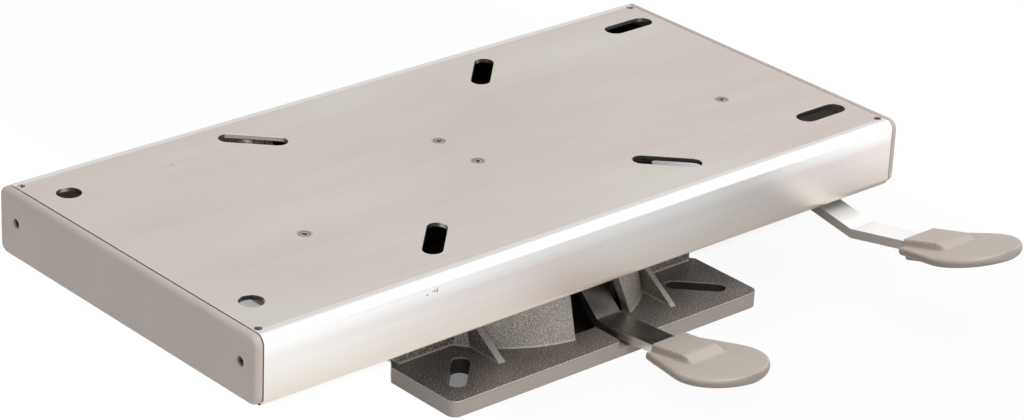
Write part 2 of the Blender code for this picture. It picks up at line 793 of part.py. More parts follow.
def make_glides(material):
    """Four nylon blocks that grip the carriage flanges and run inside the cover."""
    low_z, high_z = LIP_TOP + FIT, HANG_TOP
    inner_y = CARRIAGE_WALL_Y + CARRIAGE_BEND_RADIUS + GLIDE_WALL_GAP
    outer_y = INNER_WALL_Y - FIT
    groove_y = CARRIAGE_WALL_Y + CARRIAGE_FLANGE + FIT
    groove_low = FLANGE_TOP - CARRIAGE_SHEET - FIT
    groove_high = FLANGE_TOP + FIT
    c = GLIDE_CHAMFER
    section = [
        (inner_y, low_z),
        (outer_y - c, low_z),
        (outer_y, low_z + c),
        (outer_y, high_z - c),
        (outer_y - c, high_z),
        (inner_y, high_z),
        (inner_y, groove_high),
        (groove_y, groove_high),
        (groove_y, groove_low),
        (inner_y, groove_low),
    ]
    glides = []
    for side_y, back in ((-1, "front"), (1, "back")):
        outline = [(side_y * y, z) for y, z in section]
        for side_x, end in ((-1, "left"), (1, "right")):
            edges = sorted((side_x * HALF_CARRIAGE, side_x * (HALF_CARRIAGE - GLIDE_LENGTH)))
            name = "glide_%s_%s" % (back, end)
            glides.append(extruded(name, outline, edges[0], edges[1], "X", material))
    return glides


def make_brake_strip(material):
    reach = HALF_CARRIAGE - BRAKE_STRIP_END_GAP
    low = (-reach, BRAKE_STRIP_Y - BRAKE_STRIP_WIDTH / 2, WEB_TOP + FIT)
    high = (reach, BRAKE_STRIP_Y + BRAKE_STRIP_WIDTH / 2, WEB_TOP + FIT + BRAKE_STRIP_THICKNESS)
    return block("brake_strip", low, high, material)


def make_buffers(material):
    """Two rubber stops that the shaft brackets meet at each end of the slide."""
    reach = BUFFER_RADIUS + BUFFER_GAP
    half = BRACKET_SHEET / 2
    right_x = SLIDE_OFFSET + RIGHT_LEG_X - half + SLIDE_TRAVEL_MIN - reach
    left_x = SLIDE_OFFSET + LEFT_LEG_X + half + SLIDE_TRAVEL_MAX + reach
    base = WEB_TOP + FIT
    profile = (
        (BUFFER_FOOT_RADIUS, base),
        (BUFFER_FOOT_RADIUS, base + BUFFER_FOOT_HEIGHT),
        (BUFFER_RADIUS, base + BUFFER_FOOT_HEIGHT),
        (BUFFER_RADIUS, base + BUFFER_HEIGHT),
    )
    buffers = []
    for label, x in (("left", left_x), ("right", right_x)):
        piece = turned("stop_buffer_" + label, profile, SMALL_STEPS, "Z", (x, BUFFER_Y), material)
        smooth(piece)
        buffers.append(piece)
    return buffers


# Platform


def make_cover(material):
    half = COVER_SHEET / 2
    low, high = COVER_BASE + half, COVER_TOP - half
    side = HALF_DEPTH - half
    lip = HALF_DEPTH - COVER_LIP
    path = [(lip, low), (side, low), (side, high), (-side, high), (-side, low), (-lip, low)]
    section = folded_strip(path, COVER_SHEET, COVER_BEND_RADIUS, BEND_STEPS)
    cover = extruded("platform_cover", section, -COVER_HALF, COVER_HALF, "X", material)
    for name, outline in cover_cuts():
        cut(cover, extruded(name, outline, COVER_CEILING - OVERRUN, COVER_TOP + OVERRUN))
    cut(cover, lip_notch("cover_lip_notch"))
    smooth(cover)
    return cover


def lip_notch(name):
    """The gap in the front lip that the slide lever rises into."""
    half = LEVER_WIDTH / 2 + LIP_NOTCH_MARGIN
    low = (SLIDE_LEVER_X - half, -INNER_WALL_Y + COVER_BEND_RADIUS, COVER_BASE - OVERRUN)
    high = (SLIDE_LEVER_X + half, -HALF_DEPTH + COVER_LIP + OVERRUN, LIP_TOP + OVERRUN)
    return block(name, low, high)


def rivet_places():
    return (
        ("shaft_rivet_left", LEFT_RIVET_X, SHAFT_RIVET_Y),
        ("shaft_rivet_right", RIGHT_RIVET_X, SHAFT_RIVET_Y),
        ("hanger_rivet_back", HANGER_RIVET_X, HANGER_RIVET_BACK_Y),
        ("hanger_rivet_front", HANGER_RIVET_X, HANGER_RIVET_FRONT_Y),
    )


def cover_cuts():
    """Every hole and slot in the top of the cover, as a name and an outline."""
    cuts = []
    for y in (-1, 1):
        centre = (HOLE_SHIFT_X - ROUND_HOLE_X, HOLE_SHIFT_Y + y * ROUND_HOLE_Y)
        cuts.append(("round_hole_cutter", circle(ROUND_HOLE_RADIUS, ROUND_STEPS, centre)))
        outline = slot(END_SLOT_LENGTH, END_SLOT_WIDTH, SLOT_STEPS)
        centre = (HOLE_SHIFT_X + END_SLOT_X, HOLE_SHIFT_Y + y * END_SLOT_Y)
        cuts.append(("end_slot_cutter", turned_and_moved(outline, 0.0, centre)))
        for x in (-1, 1):
            outline = slot(SEAT_SLOT_LENGTH, SEAT_SLOT_WIDTH, SLOT_STEPS)
            centre = (HOLE_SHIFT_X + x * SEAT_SLOT_X, HOLE_SHIFT_Y + y * SEAT_SLOT_Y)
            cuts.append(("seat_slot_cutter", turned_and_moved(outline, x * y * SLOT_TURN, centre)))
            centre = (x * (HALF_LENGTH - CORNER_HOLE_INSET_X), y * (HALF_DEPTH - CORNER_HOLE_INSET_Y))
            cuts.append(("corner_hole_cutter", circle(CORNER_HOLE_RADIUS, SMALL_STEPS, centre)))
    for name, x, y in rivet_places():
        cuts.append((name + "_cutter", circle(RIVET_RADIUS + FIT, SMALL_STEPS, (x, y))))
    return cuts


def cap_outline(inset):
    low = (-HALF_DEPTH + inset, COVER_BASE + CAP_LIFT + inset)
    high = (HALF_DEPTH - inset, COVER_TOP - inset)
    return rounded_rectangle(low, high, CAP_CORNER_RADIUS - inset, BEND_STEPS)


def cap_hole_places(side):
    """Hole centres (y, z) of the cap at X = side. Both caps are one part, turned half round."""
    z = COVER_TOP - CAP_HOLE_DROP
    near = HALF_DEPTH - CAP_HOLE_NEAR_INSET
    far = HALF_DEPTH - CAP_HOLE_FAR_INSET
    return (side * near, z), (-side * far, z)


def make_cap(label, side, material):
    loops = [on_axis(cap_outline(0.0), side * CAP_INNER_X, "X")]
    for i in range(BEND_STEPS + 1):
        a = math.pi / 2 * i / BEND_STEPS
        x = HALF_LENGTH - CAP_ROUNDING * (1.0 - math.sin(a))
        loops.append(on_axis(cap_outline(CAP_ROUNDING * (1.0 - math.cos(a))), side * x, "X"))
    cap = lofted("end_cap_" + label, loops, material)
    for place in cap_hole_places(side):
        ends = (side * (CAP_INNER_X - OVERRUN), side * (HALF_LENGTH + OVERRUN))
        profile = [(CAP_HOLE_RADIUS, x) for x in ends]
        cut(cap, turned("cap_hole_cutter", profile, SMALL_STEPS, "X", place))
    smooth(cap)
    return cap


def make_cap_screws(label, side, material):
    outer = HALF_LENGTH - CAP_SCREW_RECESS
    inner = outer - CAP_SCREW_LENGTH
    screws = []
    for place in cap_hole_places(side):
        row = "front" if place[0] < 0 else "back"
        profile = ((CAP_SCREW_RADIUS, side * inner), (CAP_SCREW_RADIUS, side * outer))
        screw = turned("cap_screw_%s_%s" % (row, label), profile, SMALL_STEPS, "X", place, material)
        socket = circle(CAP_SCREW_RADIUS / 2, HEX_SIDES, place)
        edges = sorted((side * (outer - CAP_SCREW_RADIUS), side * (outer + OVERRUN)))
        cut(screw, extruded("cap_screw_socket_cutter", socket, edges[0], edges[1], "X"))
        smooth(screw)
        screws.append(screw)
    return screws


def make_corner_brackets(label, side, material):
    """Angles that stand on the lips and take the cap screws."""
    brackets = []
    half = CORNER_BRACKET_SHEET / 2
    leg_x = COVER_HALF - half
    foot_z = LIP_TOP + FIT + half
    top_z = LIP_TOP + CORNER_BRACKET_HEIGHT
    for place in cap_hole_places(side):
        row, sign = ("front", -1) if place[0] < 0 else ("back", 1)
        path = [(side * (leg_x - CORNER_BRACKET_FOOT), foot_z), (side * leg_x, foot_z), (side * leg_x, top_z)]
        section = folded_strip(path, CORNER_BRACKET_SHEET, BRACKET_BEND_RADIUS, BEND_STEPS)
        outer = INNER_WALL_Y - CORNER_BRACKET_SIDE_GAP
        edges = sorted((sign * outer, sign * (outer - CORNER_BRACKET_WIDTH)))
        name = "corner_bracket_%s_%s" % (row, label)
        bracket = extruded(name, section, edges[0], edges[1], "Y", material)
        radius = CAP_SCREW_RADIUS + FIT
        profile = ((radius, side * (leg_x - half - OVERRUN)), (radius, side * (leg_x + half + OVERRUN)))
        cut(bracket, turned("corner_bracket_cutter", profile, SMALL_STEPS, "X", place))
        cut(bracket, bend_relief(name + "_relief", side, sign))
        brackets.append(bracket)
    return brackets


def bend_relief(name, side, sign):
    """The notch that clears the round of the cover's lower bend."""
    ends = sorted((side * HALF_LENGTH, side * (COVER_HALF - 2 * CORNER_BRACKET_FOOT)))
    edges = sorted((sign * (INNER_WALL_Y - COVER_BEND_RADIUS), sign * HALF_DEPTH))
    low = (ends[0], edges[0], COVER_BASE)
    high = (ends[1], edges[1], LIP_TOP + COVER_BEND_RADIUS)
    return block(name, low, high)


# Slide lock


def hung_bracket(name, leg_x, direction, front, back, flange_back, rivets, material):
    """An angle under the cover: a riveted flange, and a leg with the shaft's hole."""
    half = BRACKET_SHEET / 2
    flange_z = HANG_TOP - half
    bottom = HANG_TOP - BRACKET_REACH
    path = [(leg_x + direction * BRACKET_FLANGE, flange_z), (leg_x, flange_z), (leg_x, bottom)]
    section = folded_strip(path, BRACKET_SHEET, BRACKET_BEND_RADIUS, BEND_STEPS)
    bracket = extruded(name, section, front, flange_back, "Y", material)
    if flange_back > back:
        low = (leg_x - BRACKET_SHEET, back, bottom - OVERRUN)
        high = (leg_x + BRACKET_SHEET, flange_back + OVERRUN, HANG_TOP - BRACKET_SHEET - BRACKET_BEND_RADIUS)
        cut(bracket, block(name + "_leg_cutter", low, high))
    radius = SHAFT_RADIUS + FIT
    profile = ((radius, leg_x - BRACKET_SHEET), (radius, leg_x + BRACKET_SHEET))
    cut(bracket, turned(name + "_shaft_cutter", profile, SMALL_STEPS, "X", (SHAFT_Y, SHAFT_Z)))
    for place in rivets:
        outline = circle(RIVET_RADIUS + FIT, SMALL_STEPS, place)
        low, high = HANG_TOP - BRACKET_SHEET - OVERRUN, HANG_TOP + OVERRUN
        cut(bracket, extruded(name + "_rivet_cutter", outline, low, high))
    return bracket


def make_hung_brackets(material):
    left = hung_bracket(
        "shaft_bracket_left", LEFT_LEG_X, 1, BRACKET_FRONT, BRACKET_BACK, BRACKET_BACK,
        [(LEFT_RIVET_X, SHAFT_RIVET_Y)], material,
    )
    right = hung_bracket(
        "shaft_bracket_right", RIGHT_LEG_X, -1, BRACKET_FRONT, BRACKET_BACK, BRACKET_BACK,
        [(RIGHT_RIVET_X, SHAFT_RIVET_Y)], material,
    )
    hanger = hung_bracket(
        "cam_hanger", HANGER_LEG_X, -1, BRACKET_FRONT, HANGER_LEG_BACK, HANGER_BACK,
        [(HANGER_RIVET_X, HANGER_RIVET_BACK_Y), (HANGER_RIVET_X, HANGER_RIVET_FRONT_Y)], material,
    )
    return left, right, hanger


def make_rivets(material):
    rivets = []
    head_top = HANG_TOP - BRACKET_SHEET - FIT
    for name, x, y in rivet_places():
        profile = (
            (RIVET_HEAD_RADIUS, head_top - RIVET_HEAD),
            (RIVET_HEAD_RADIUS, head_top),
            (RIVET_RADIUS, head_top),
            (RIVET_RADIUS, COVER_TOP - RIVET_SINK),
        )
        rivet = turned(name, profile, SMALL_STEPS, "Z", (x, y), material)
        smooth(rivet)
        rivets.append(rivet)
    return rivets


def make_lock_shaft(material):
    """A round bar from bracket to bracket, grooved near its ends for the clips. Its own axis is the origin."""
    radius = SHAFT_RADIUS
    waist = SHAFT_RADIUS - CLIP_GROOVE
    left, right = clip_places()
    profile = [(radius, SHAFT_END_LEFT)]
    for start, end in (left, right):
        profile += [(radius, start - FIT), (waist, start - FIT), (waist, end + FIT), (radius, end + FIT)]
    profile.append((radius, SHAFT_END_RIGHT))
    shaft = turned("lock_shaft", profile, SMALL_STEPS, "X", material=material)
    smooth(shaft)
    return shaft


def clip_places():
    """Low and high X of the two clips that keep the shaft in its brackets."""
    left_face = LEFT_LEG_X - BRACKET_SHEET / 2
    right_face = SLIDE_LEVER_X + LEVER_WIDTH / 2
    left = (left_face - FIT - CLIP_THICKNESS, left_face - FIT)
    right = (right_face + FIT, right_face + FIT + CLIP_THICKNESS)
    return left, right


def make_shaft_clips(material):
    clips = []
    for label, (low, high) in zip(("left", "right"), clip_places()):
        inner = SHAFT_RADIUS - CLIP_GROOVE + FIT
        clip = washer("shaft_clip_" + label, inner, CLIP_RADIUS, low, high, SMALL_STEPS, "X", material=material)
        opening = SHAFT_RADIUS - CLIP_GROOVE
        corner = (low - OVERRUN, -opening, 0.0)
        far_corner = (high + OVERRUN, opening, CLIP_RADIUS + OVERRUN)
        cut(clip, block("clip_cutter", corner, far_corner))
        clips.append(clip)
    return clips


def bar(name, path, hub_radius, bore_radius, x, material):
    """A flat bar bent along its top path, with a welded hub round the turning axis at the origin."""
    end = Vector(path[-1])
    inside = end + (end - Vector(path[-2])).normalized() * SOCKET_DEPTH
    lowered = lower_path([*path[:-1], tuple(inside)], LEVER_BAR / 2)
    section = folded_strip(lowered, LEVER_BAR, LEVER_BEND_RADIUS, BEND_STEPS)
    low, high = x - LEVER_WIDTH / 2, x + LEVER_WIDTH / 2
    arm = extruded(name, section, low, high, "X", material)
    hub = ((hub_radius, low), (hub_radius, high))
    join(arm, turned(name + "_hub", hub, SMALL_STEPS, "X"))
    bore = ((bore_radius, low - OVERRUN), (bore_radius, high + OVERRUN))
    cut(arm, turned(name + "_bore_cutter", bore, SMALL_STEPS, "X"))
    smooth(arm)
    return arm


def lower_path(path, depth):
    """The path moved to the bar's middle, square to each of its straight runs."""
    lines = []
    for start, end in zip(path, path[1:]):
        along = (Vector(end) - Vector(start)).normalized()
        down = Vector((along.y, -along.x))
        if down.y > 0:
            down = -down
        lines.append((Vector(start) + down * depth, Vector(end) + down * depth))
    moved = [lines[0][0]]
    for first, second in zip(lines, lines[1:]):
        moved.append(crossing(first, second))
    moved.append(lines[-1][1])
    return [tuple(p) for p in moved]


def crossing(first, second):
    """Where two lines meet, each given by two points."""
    a, b = first
    c, d = second
    ab, cd = b - a, d - c
    across = ab.x * cd.y - ab.y * cd.x
    t = ((c.x - a.x) * cd.y - (c.y - a.y) * cd.x) / across
    return a + ab * t


def coil(name, radius, wire, pitch, turns, leg, material):
    """A torsion spring round X at the origin: a helix with two straight legs square to it."""
    path = []
    count = turns * COIL_STEPS
    for i in range(count + 1):
        a = math.tau * i / COIL_STEPS
        path.append(Vector((pitch * i / COIL_STEPS, radius * math.cos(a), radius * math.sin(a))))
    path.insert(0, path[0] - Vector((0.0, 0.0, leg)))
    path.append(path[-1] + Vector((0.0, 0.0, leg)))
    loops = []
    across = Vector((1.0, 0.0, 0.0))
    for i, point in enumerate(path):
        ahead = path[min(i + 1, len(path) - 1)] - path[max(i - 1, 0)]
        ahead.normalize()
        first = (across - ahead * across.dot(ahead)).normalized()
        second = ahead.cross(first)
        loops.append([point + (first * c + second * s) * wire for c, s in circle(1.0, WIRE_STEPS)])
    spring = lofted(name, loops, material)
    smooth(spring)
    return spring


def make_cam(material):
    """The brake shoe: a hub on the shaft and a block that bears down on the brake strip."""
    low = HANGER_LEG_X + BRACKET_SHEET / 2 + CAM_SIDE_GAP
    high = low + CAM_LENGTH
    hub = ((LEVER_HUB_RADIUS, low), (LEVER_HUB_RADIUS, high))
    cam = turned("brake_cam", hub, ROUND_STEPS, "X", material=material)
    shoe_y = BRAKE_STRIP_Y - SHAFT_Y
    shoe_z = WEB_TOP + 2 * FIT + BRAKE_STRIP_THICKNESS - SHAFT_Z
    half = CAM_SHOE_LENGTH / 2
    outline = [
        (shoe_y - half, shoe_z),
        (shoe_y + half, shoe_z),
        (0.0, -LEVER_HUB_RADIUS / 2),
        (-LEVER_HUB_RADIUS / 2, 0.0),
    ]
    join(cam, extruded("cam_shoe", outline, low, high, "X"))
    bore = ((SHAFT_RADIUS + FIT, low - OVERRUN), (SHAFT_RADIUS + FIT, high + OVERRUN))
    cut(cam, turned("cam_bore_cutter", bore, SMALL_STEPS, "X"))
    smooth(cam)
    return cam


# Paddles


def paddle_outline(inset):
    """A disc that narrows to the mouth, seen from above. The bar enters at y = 0 and the disc lies at -Y."""
    radius = PADDLE_DISC_RADIUS - inset
    centre_y = -(PADDLE_LENGTH - PADDLE_DISC_RADIUS)
    mouth = PADDLE_MOUTH_WIDTH / 2 - inset
    reach = math.hypot(mouth, centre_y + inset)
    bearing = math.atan2(-inset - centre_y, mouth)
    start = bearing - math.acos(radius / reach)
    disc = arc((0.0, centre_y), radius, start, -math.pi - start, 2 * SLOT_STEPS)
    return [(mouth, -inset)] + disc + [(-mouth, -inset)]


def rounded_slab(name, outline, low, high, rounding, steps, material=None):
    """A slab from an outline function of the inset, with both rims rounded."""
    loops = []
    for i in range(steps + 1):
        a = math.pi / 2 * i / steps
        inset = rounding * (1.0 - math.sin(a))
        loops.append(on_axis(outline(inset), low + rounding * (1.0 - math.cos(a)), "Z"))
    for i in range(steps, -1, -1):
        a = math.pi / 2 * i / steps
        inset = rounding * (1.0 - math.sin(a))
        loops.append(on_axis(outline(inset), high - rounding * (1.0 - math.cos(a)), "Z"))
    return lofted(name, loops, material)


def make_paddle(name, material):
    """A moulded paddle. Its mouth is at the origin, level with the bar's top."""
    disc_top = -PADDLE_DROP
    disc_low = disc_top - PADDLE_DISC_THICKNESS
    paddle = rounded_slab(name, paddle_outline, disc_low, disc_top, PADDLE_ROUNDING, PADDLE_STEPS, material)
    floor = -LEVER_BAR - SOCKET_FLOOR
    ramp_end = SOCKET_LENGTH + SOCKET_RAMP
    side = [
        (0.0, floor),
        (0.0, SOCKET_RISE),
        (-SOCKET_LENGTH, SOCKET_RISE),
        (-ramp_end, disc_top - PADDLE_ROUNDING),
        (-ramp_end, disc_low + PADDLE_ROUNDING),
        (-SOCKET_LENGTH, floor),
    ]
    socket = extruded(name + "_socket", side, -SOCKET_WIDTH / 2, SOCKET_WIDTH / 2, "X")
    edge = socket.modifiers.new("edge", "BEVEL")
    edge.width = SOCKET_ROUNDING
    edge.segments = 2
    edge.limit_method = "ANGLE"
    edge.angle_limit = SOCKET_EDGE_ANGLE
    join(paddle, socket)
    half = LEVER_WIDTH / 2 + FIT
    low = (-half, -SOCKET_DEPTH - FIT, -LEVER_BAR - FIT)
    high = (half, SOCKET_DEPTH, FIT)
    pocket = block(name + "_pocket_cutter", low, high)
    pocket.rotation_euler = (PADDLE_PITCH, 0.0, 0.0)
    cut(paddle, pocket)
    smooth(paddle)
    return paddle


def set_on_bar(paddle, path, x):
    """Puts the paddle's mouth at the end of the path, pitched up a little from the bar's last run."""
    mouth = Vector(path[-1])
    along = (mouth - Vector(path[-2])).normalized()
    paddle.location = (x, mouth.x, mouth.y)
    paddle.rotation_euler = (-math.atan2(along.y, -along.x) - PADDLE_PITCH, 0.0, 0.0)


# Swivel lock


def make_swivel_pin(material):
    left, right = pin_clip_places()
    radius = SWIVEL_PIN_RADIUS
    waist = radius - CLIP_GROOVE
    tail = PIN_CLIP_THICKNESS
    profile = [(radius, left[0] - tail)]
    for start, end in (left, right):
        profile += [(radius, start - FIT), (waist, start - FIT), (waist, end + FIT), (radius, end + FIT)]
    profile.append((radius, right[1] + tail))
    pin = turned("swivel_lever_pin", profile, SMALL_STEPS, "X", material=material)
    smooth(pin)
    return pin


def pin_clip_places():
    left, right = cheek_places()
    left_face = left - LEVER_CHEEK / 2 - FIT
    right_face = right + LEVER_CHEEK / 2 + FIT
    return (left_face - PIN_CLIP_THICKNESS, left_face), (right_face, right_face + PIN_CLIP_THICKNESS)


def make_pin_clips(material):
    clips = []
    for label, (low, high) in zip(("left", "right"), pin_clip_places()):
        inner = SWIVEL_PIN_RADIUS - CLIP_GROOVE + FIT
        clip = washer("pin_clip_" + label, inner, PIN_CLIP_RADIUS, low, high, SMALL_STEPS, "X", material=material)
        opening = SWIVEL_PIN_RADIUS - CLIP_GROOVE
        corner = (low - OVERRUN, -opening, 0.0)
        far_corner = (high + OVERRUN, opening, PIN_CLIP_RADIUS + OVERRUN)
        cut(clip, block("pin_clip_cutter", corner, far_corner))
        clips.append(clip)
    return clips


def make_brake_pad(material):
    """A lining block on the inner end of the swivel lever, just under the turntable."""
    back, top = SWIVEL_BAR_PATH[0]
    half = LEVER_WIDTH / 2 - BRAKE_PAD_MARGIN
    low = (SWIVEL_LEVER_X - half, back - BRAKE_PAD_LENGTH, top + FIT)
    high = (SWIVEL_LEVER_X + half, back, TURNTABLE_BASE - FIT - SWIVEL_PIN_Z)
    return block("swivel_brake_pad", low, high, material)


def main():
    clear_scene()
    steel, zinc, iron = brushed_steel(), zinc_plate(), cast_iron()
    cap_finish, paddle_finish = cap_plastic(), paddle_plastic()
    pale, lining, black, wire = nylon(), friction_lining(), rubber(), spring_steel()

    swivel = axis_empty("swivel_axis", (0.0, 0.0, 0.0))
    slide = axis_empty("slide_axis", (SLIDE_OFFSET, 0.0, 0.0), swivel)
    slide_turn = axis_empty("slide_lever_axis", (0.0, SHAFT_Y, SHAFT_Z), slide)
    swivel_turn = axis_empty("swivel_lever_axis", (0.0, SWIVEL_PIN_Y, SWIVEL_PIN_Z))

    make_foot(iron)
    make_spindle(zinc)
    make_spindle_fasteners(zinc)
    make_thrust_ring(pale)

    carry(swivel, make_turntable(steel), make_carriage(steel), make_brake_strip(lining))
    carry(swivel, *make_carriage_bolts(zinc), *make_glides(pale), *make_buffers(black))

    carry(slide, make_cover(steel), *make_hung_brackets(zinc), *make_rivets(zinc))
    for label, side in (("left", -1), ("right", 1)):
        carry(slide, make_cap(label, side, cap_finish), *make_cap_screws(label, side, zinc))
        carry(slide, *make_corner_brackets(label, side, zinc))

    bore = SHAFT_RADIUS + FIT
    slide_arm = bar("slide_lever_arm", SLIDE_BAR_PATH, LEVER_HUB_RADIUS, bore, SLIDE_LEVER_X, zinc)
    slide_paddle = make_paddle("slide_lever_paddle", paddle_finish)
    set_on_bar(slide_paddle, SLIDE_BAR_PATH, SLIDE_LEVER_X)
    carry(slide_turn, make_lock_shaft(zinc), *make_shaft_clips(wire), make_cam(zinc), slide_arm, slide_paddle)
    slide_spring = coil(
        "slide_lever_spring", SHAFT_RADIUS + FIT + SPRING_WIRE, SPRING_WIRE, SPRING_PITCH,
        SPRING_TURNS, SPRING_LEG, wire,
    )
    slide_spring.location = (RIGHT_LEG_X - 2 * LEVER_HUB_RADIUS, 0.0, 0.0)
    carry(slide_turn, slide_spring)

    bore = SWIVEL_PIN_RADIUS + FIT
    swivel_arm = bar("swivel_lever_arm", SWIVEL_BAR_PATH, SWIVEL_HUB_RADIUS, bore, SWIVEL_LEVER_X, zinc)
    swivel_paddle = make_paddle("swivel_lever_paddle", paddle_finish)
    set_on_bar(swivel_paddle, SWIVEL_BAR_PATH, SWIVEL_LEVER_X)
    swivel_spring = coil(
        "swivel_lever_spring", SWIVEL_PIN_RADIUS + FIT + SPRING_WIRE, SPRING_WIRE, SPRING_PITCH,
        SPRING_TURNS, SPRING_LEG, wire,
    )
    swivel_spring.location = (LEVER_WINDOW_LEFT + LEVER_CHEEK, 0.0, 0.0)
    carry(swivel_turn, swivel_arm, swivel_paddle, make_brake_pad(lining), swivel_spring)
    for piece in (make_swivel_pin(zinc), *make_pin_clips(wire)):
        piece.location = swivel_turn.location


main()
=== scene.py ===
# Looks of a swivel and slide base for a camper seat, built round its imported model.
# Metres, +Z up. The origin is on the swivel axis at the underside of the cast foot.
import json
import math

import bmesh
import bpy
import numpy as np
from mathutils import Matrix, Vector

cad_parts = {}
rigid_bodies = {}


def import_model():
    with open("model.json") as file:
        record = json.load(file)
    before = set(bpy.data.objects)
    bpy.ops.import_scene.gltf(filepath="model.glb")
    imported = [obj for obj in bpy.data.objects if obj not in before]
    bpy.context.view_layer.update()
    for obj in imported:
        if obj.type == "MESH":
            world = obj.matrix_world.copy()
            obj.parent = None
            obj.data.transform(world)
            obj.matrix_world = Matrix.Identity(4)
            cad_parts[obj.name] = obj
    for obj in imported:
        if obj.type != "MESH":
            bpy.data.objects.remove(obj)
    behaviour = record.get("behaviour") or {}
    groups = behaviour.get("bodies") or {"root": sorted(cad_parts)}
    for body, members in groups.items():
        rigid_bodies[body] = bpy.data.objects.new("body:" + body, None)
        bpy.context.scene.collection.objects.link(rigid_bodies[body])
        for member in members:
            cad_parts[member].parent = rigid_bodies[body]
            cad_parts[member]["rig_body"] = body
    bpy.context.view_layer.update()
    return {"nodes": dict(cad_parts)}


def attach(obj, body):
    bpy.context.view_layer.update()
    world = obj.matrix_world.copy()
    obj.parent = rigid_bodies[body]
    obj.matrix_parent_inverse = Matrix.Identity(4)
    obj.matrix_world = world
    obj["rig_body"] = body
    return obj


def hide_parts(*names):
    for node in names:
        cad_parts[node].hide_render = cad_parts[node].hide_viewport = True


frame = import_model()
nodes = frame["nodes"]
scene = bpy.context.scene
scene.view_settings.view_transform = "Standard"
mm = 0.001
noiseMiddle = (0.3, 0.7)  # most of a noise's values lie between these
print("frame:", len(nodes), "nodes")


def linear(hexColour):
    # sRGB hex text to linear red, green, blue and alpha
    parts = [int(hexColour[i:i + 2], 16) / 255 for i in (1, 3, 5)]
    return (*[c / 12.92 if c <= 0.04045 else ((c + 0.055) / 1.055) ** 2.4 for c in parts], 1.0)


def addNode(tree, kind, *values, output=None, **settings):
    # One shader node. Values go to its inputs in order. A setting is an input's name or one of the node's own fields.
    # It gives the output of that name, or the first.
    made = tree.nodes.new("ShaderNode" + kind)
    for field, value in settings.items():
        if field not in made.inputs:
            setattr(made, field, value)
    feeds = list(zip([socket for socket in made.inputs if socket.enabled], values))
    feeds += [(made.inputs[field], value) for field, value in settings.items() if field in made.inputs]
    for socket, value in feeds:
        if isinstance(value, bpy.types.NodeSocket):
            tree.links.new(value, socket)
        else:
            socket.default_value = value
    shown = [socket for socket in made.outputs if socket.enabled and output in (None, socket.name)]
    return shown[0] if shown else None


# The camera stands where a fit to the photo's straight edges puts it
view = {
    "place": (-1.37355, -1.53564, 1.01944),
    "right": (0.7532748, -0.6564642, 0.0403968),
    "up": (0.2497255, 0.3422934, 0.9057993),
    "focalPixels": 3524.339,
    "imageWidth": 1024,
    "sensor": 36.0,
    "clip": (0.1, 20.0),
}


def makeCamera():
    data = bpy.data.cameras.new("camera")
    camera = bpy.data.objects.new("camera", data)
    scene.collection.objects.link(camera)
    right, up = Vector(view["right"]), Vector(view["up"])
    turn = Matrix((right, up, right.cross(up))).transposed().to_4x4()
    turn.translation = view["place"]
    camera.matrix_world = turn
    data.sensor_width = view["sensor"]
    data.lens = view["focalPixels"] * view["sensor"] / view["imageWidth"]
    data.clip_start, data.clip_end = view["clip"]
    scene.camera = camera


makeCamera()
print("camera: done")

# Soft studio light: a broad key above and in front, a low fill in front, one from the right
studio = {
    "boardColour": "#e4e2de",
    "boardRoughness": 0.9,
    "boardSize": 8.0,
    "boardWhite": 0.96,
    # places on the board, in metres: middle, reach, and the share of the reach where the soft edge starts
    "hidden": ((0.06, 0.125), (0.27, 0.165), 0.55),
    "covered": ((0.0, 0.0), (0.29, 0.16), 0.5),
    "footprint": ((0.0, 0.0), (0.114, 0.114), 0.97),
    # painted shadow: the board's colour under the platform
    "paintedShadowColour": "#3f3b37",
    # light that the foot's slots let in: from and to these distances along X, from no light to this share
    "slotLight": (0.065, 0.085, 0.0, 0.2),
    # how bright the board shows in the front skirt: least and most, and where along X it falls and rises
    "mirrored": (0.5, 1.08),
    "mirrorFall": (-0.14, 0.22),
    "mirrorRise": (0.30, 0.34),
    "white": "#ffffff",
    "wall": "#d6d3cf",
    "wallRise": (-0.15, 0.45),
    "worldLight": 0.45,
    "aim": (0.0, 0.0, 0.06),
    "lamps": (
        # name, place, side, watts
        ("top_key", (-0.4, -1.3, 2.3), 1.6, 42.0),
        ("front_fill", (0.5, -2.4, 0.8), 1.6, 9.0),
        ("right_fill", (2.2, 0.2, 1.5), 1.4, 8.0),
    ),
}


def outsideBox(tree, point, middle, reach, start):
    # 0 within a box on the board, rising to 1 from that share of its reach to its edge
    shift = [-m / r for m, r in zip(middle, reach)]
    scale = (1 / reach[0], 1 / reach[1], 0.0)
    moved = addNode(tree, "Mapping", Vector=point, Scale=scale, Location=(*shift, 0.0))
    away = addNode(tree, "VectorMath", moved, operation="ABSOLUTE")
    sides = [addNode(tree, "SeparateXYZ", away, output=axis) for axis in "XY"]
    return addNode(tree, "MapRange", addNode(tree, "Math", *sides, operation="MAXIMUM"), start, 1.0, 0.0, 1.0)


def openAir(tree, place):
    # First how much light reaches the board: 0 under the base, 1 in the open. Then the same for its colour, which a
    # painted shadow darkens under the platform.
    # The dark places under the platform go with it.
    above = addNode(tree, "TexCoord", object=nodes["platform_cover"], output="Object")
    hidden, covered = (outsideBox(tree, above, *studio[name]) for name in ("hidden", "covered"))
    outwards = addNode(tree, "Math", addNode(tree, "SeparateXYZ", place, output="X"), operation="ABSOLUTE")
    belowSlots = addNode(tree, "MapRange", outwards, *studio["slotLight"])
    foot = addNode(tree, "Math", outsideBox(tree, place, *studio["footprint"]), belowSlots, operation="MAXIMUM")
    return addNode(tree, "Math", hidden, foot, operation="MULTIPLY"), covered


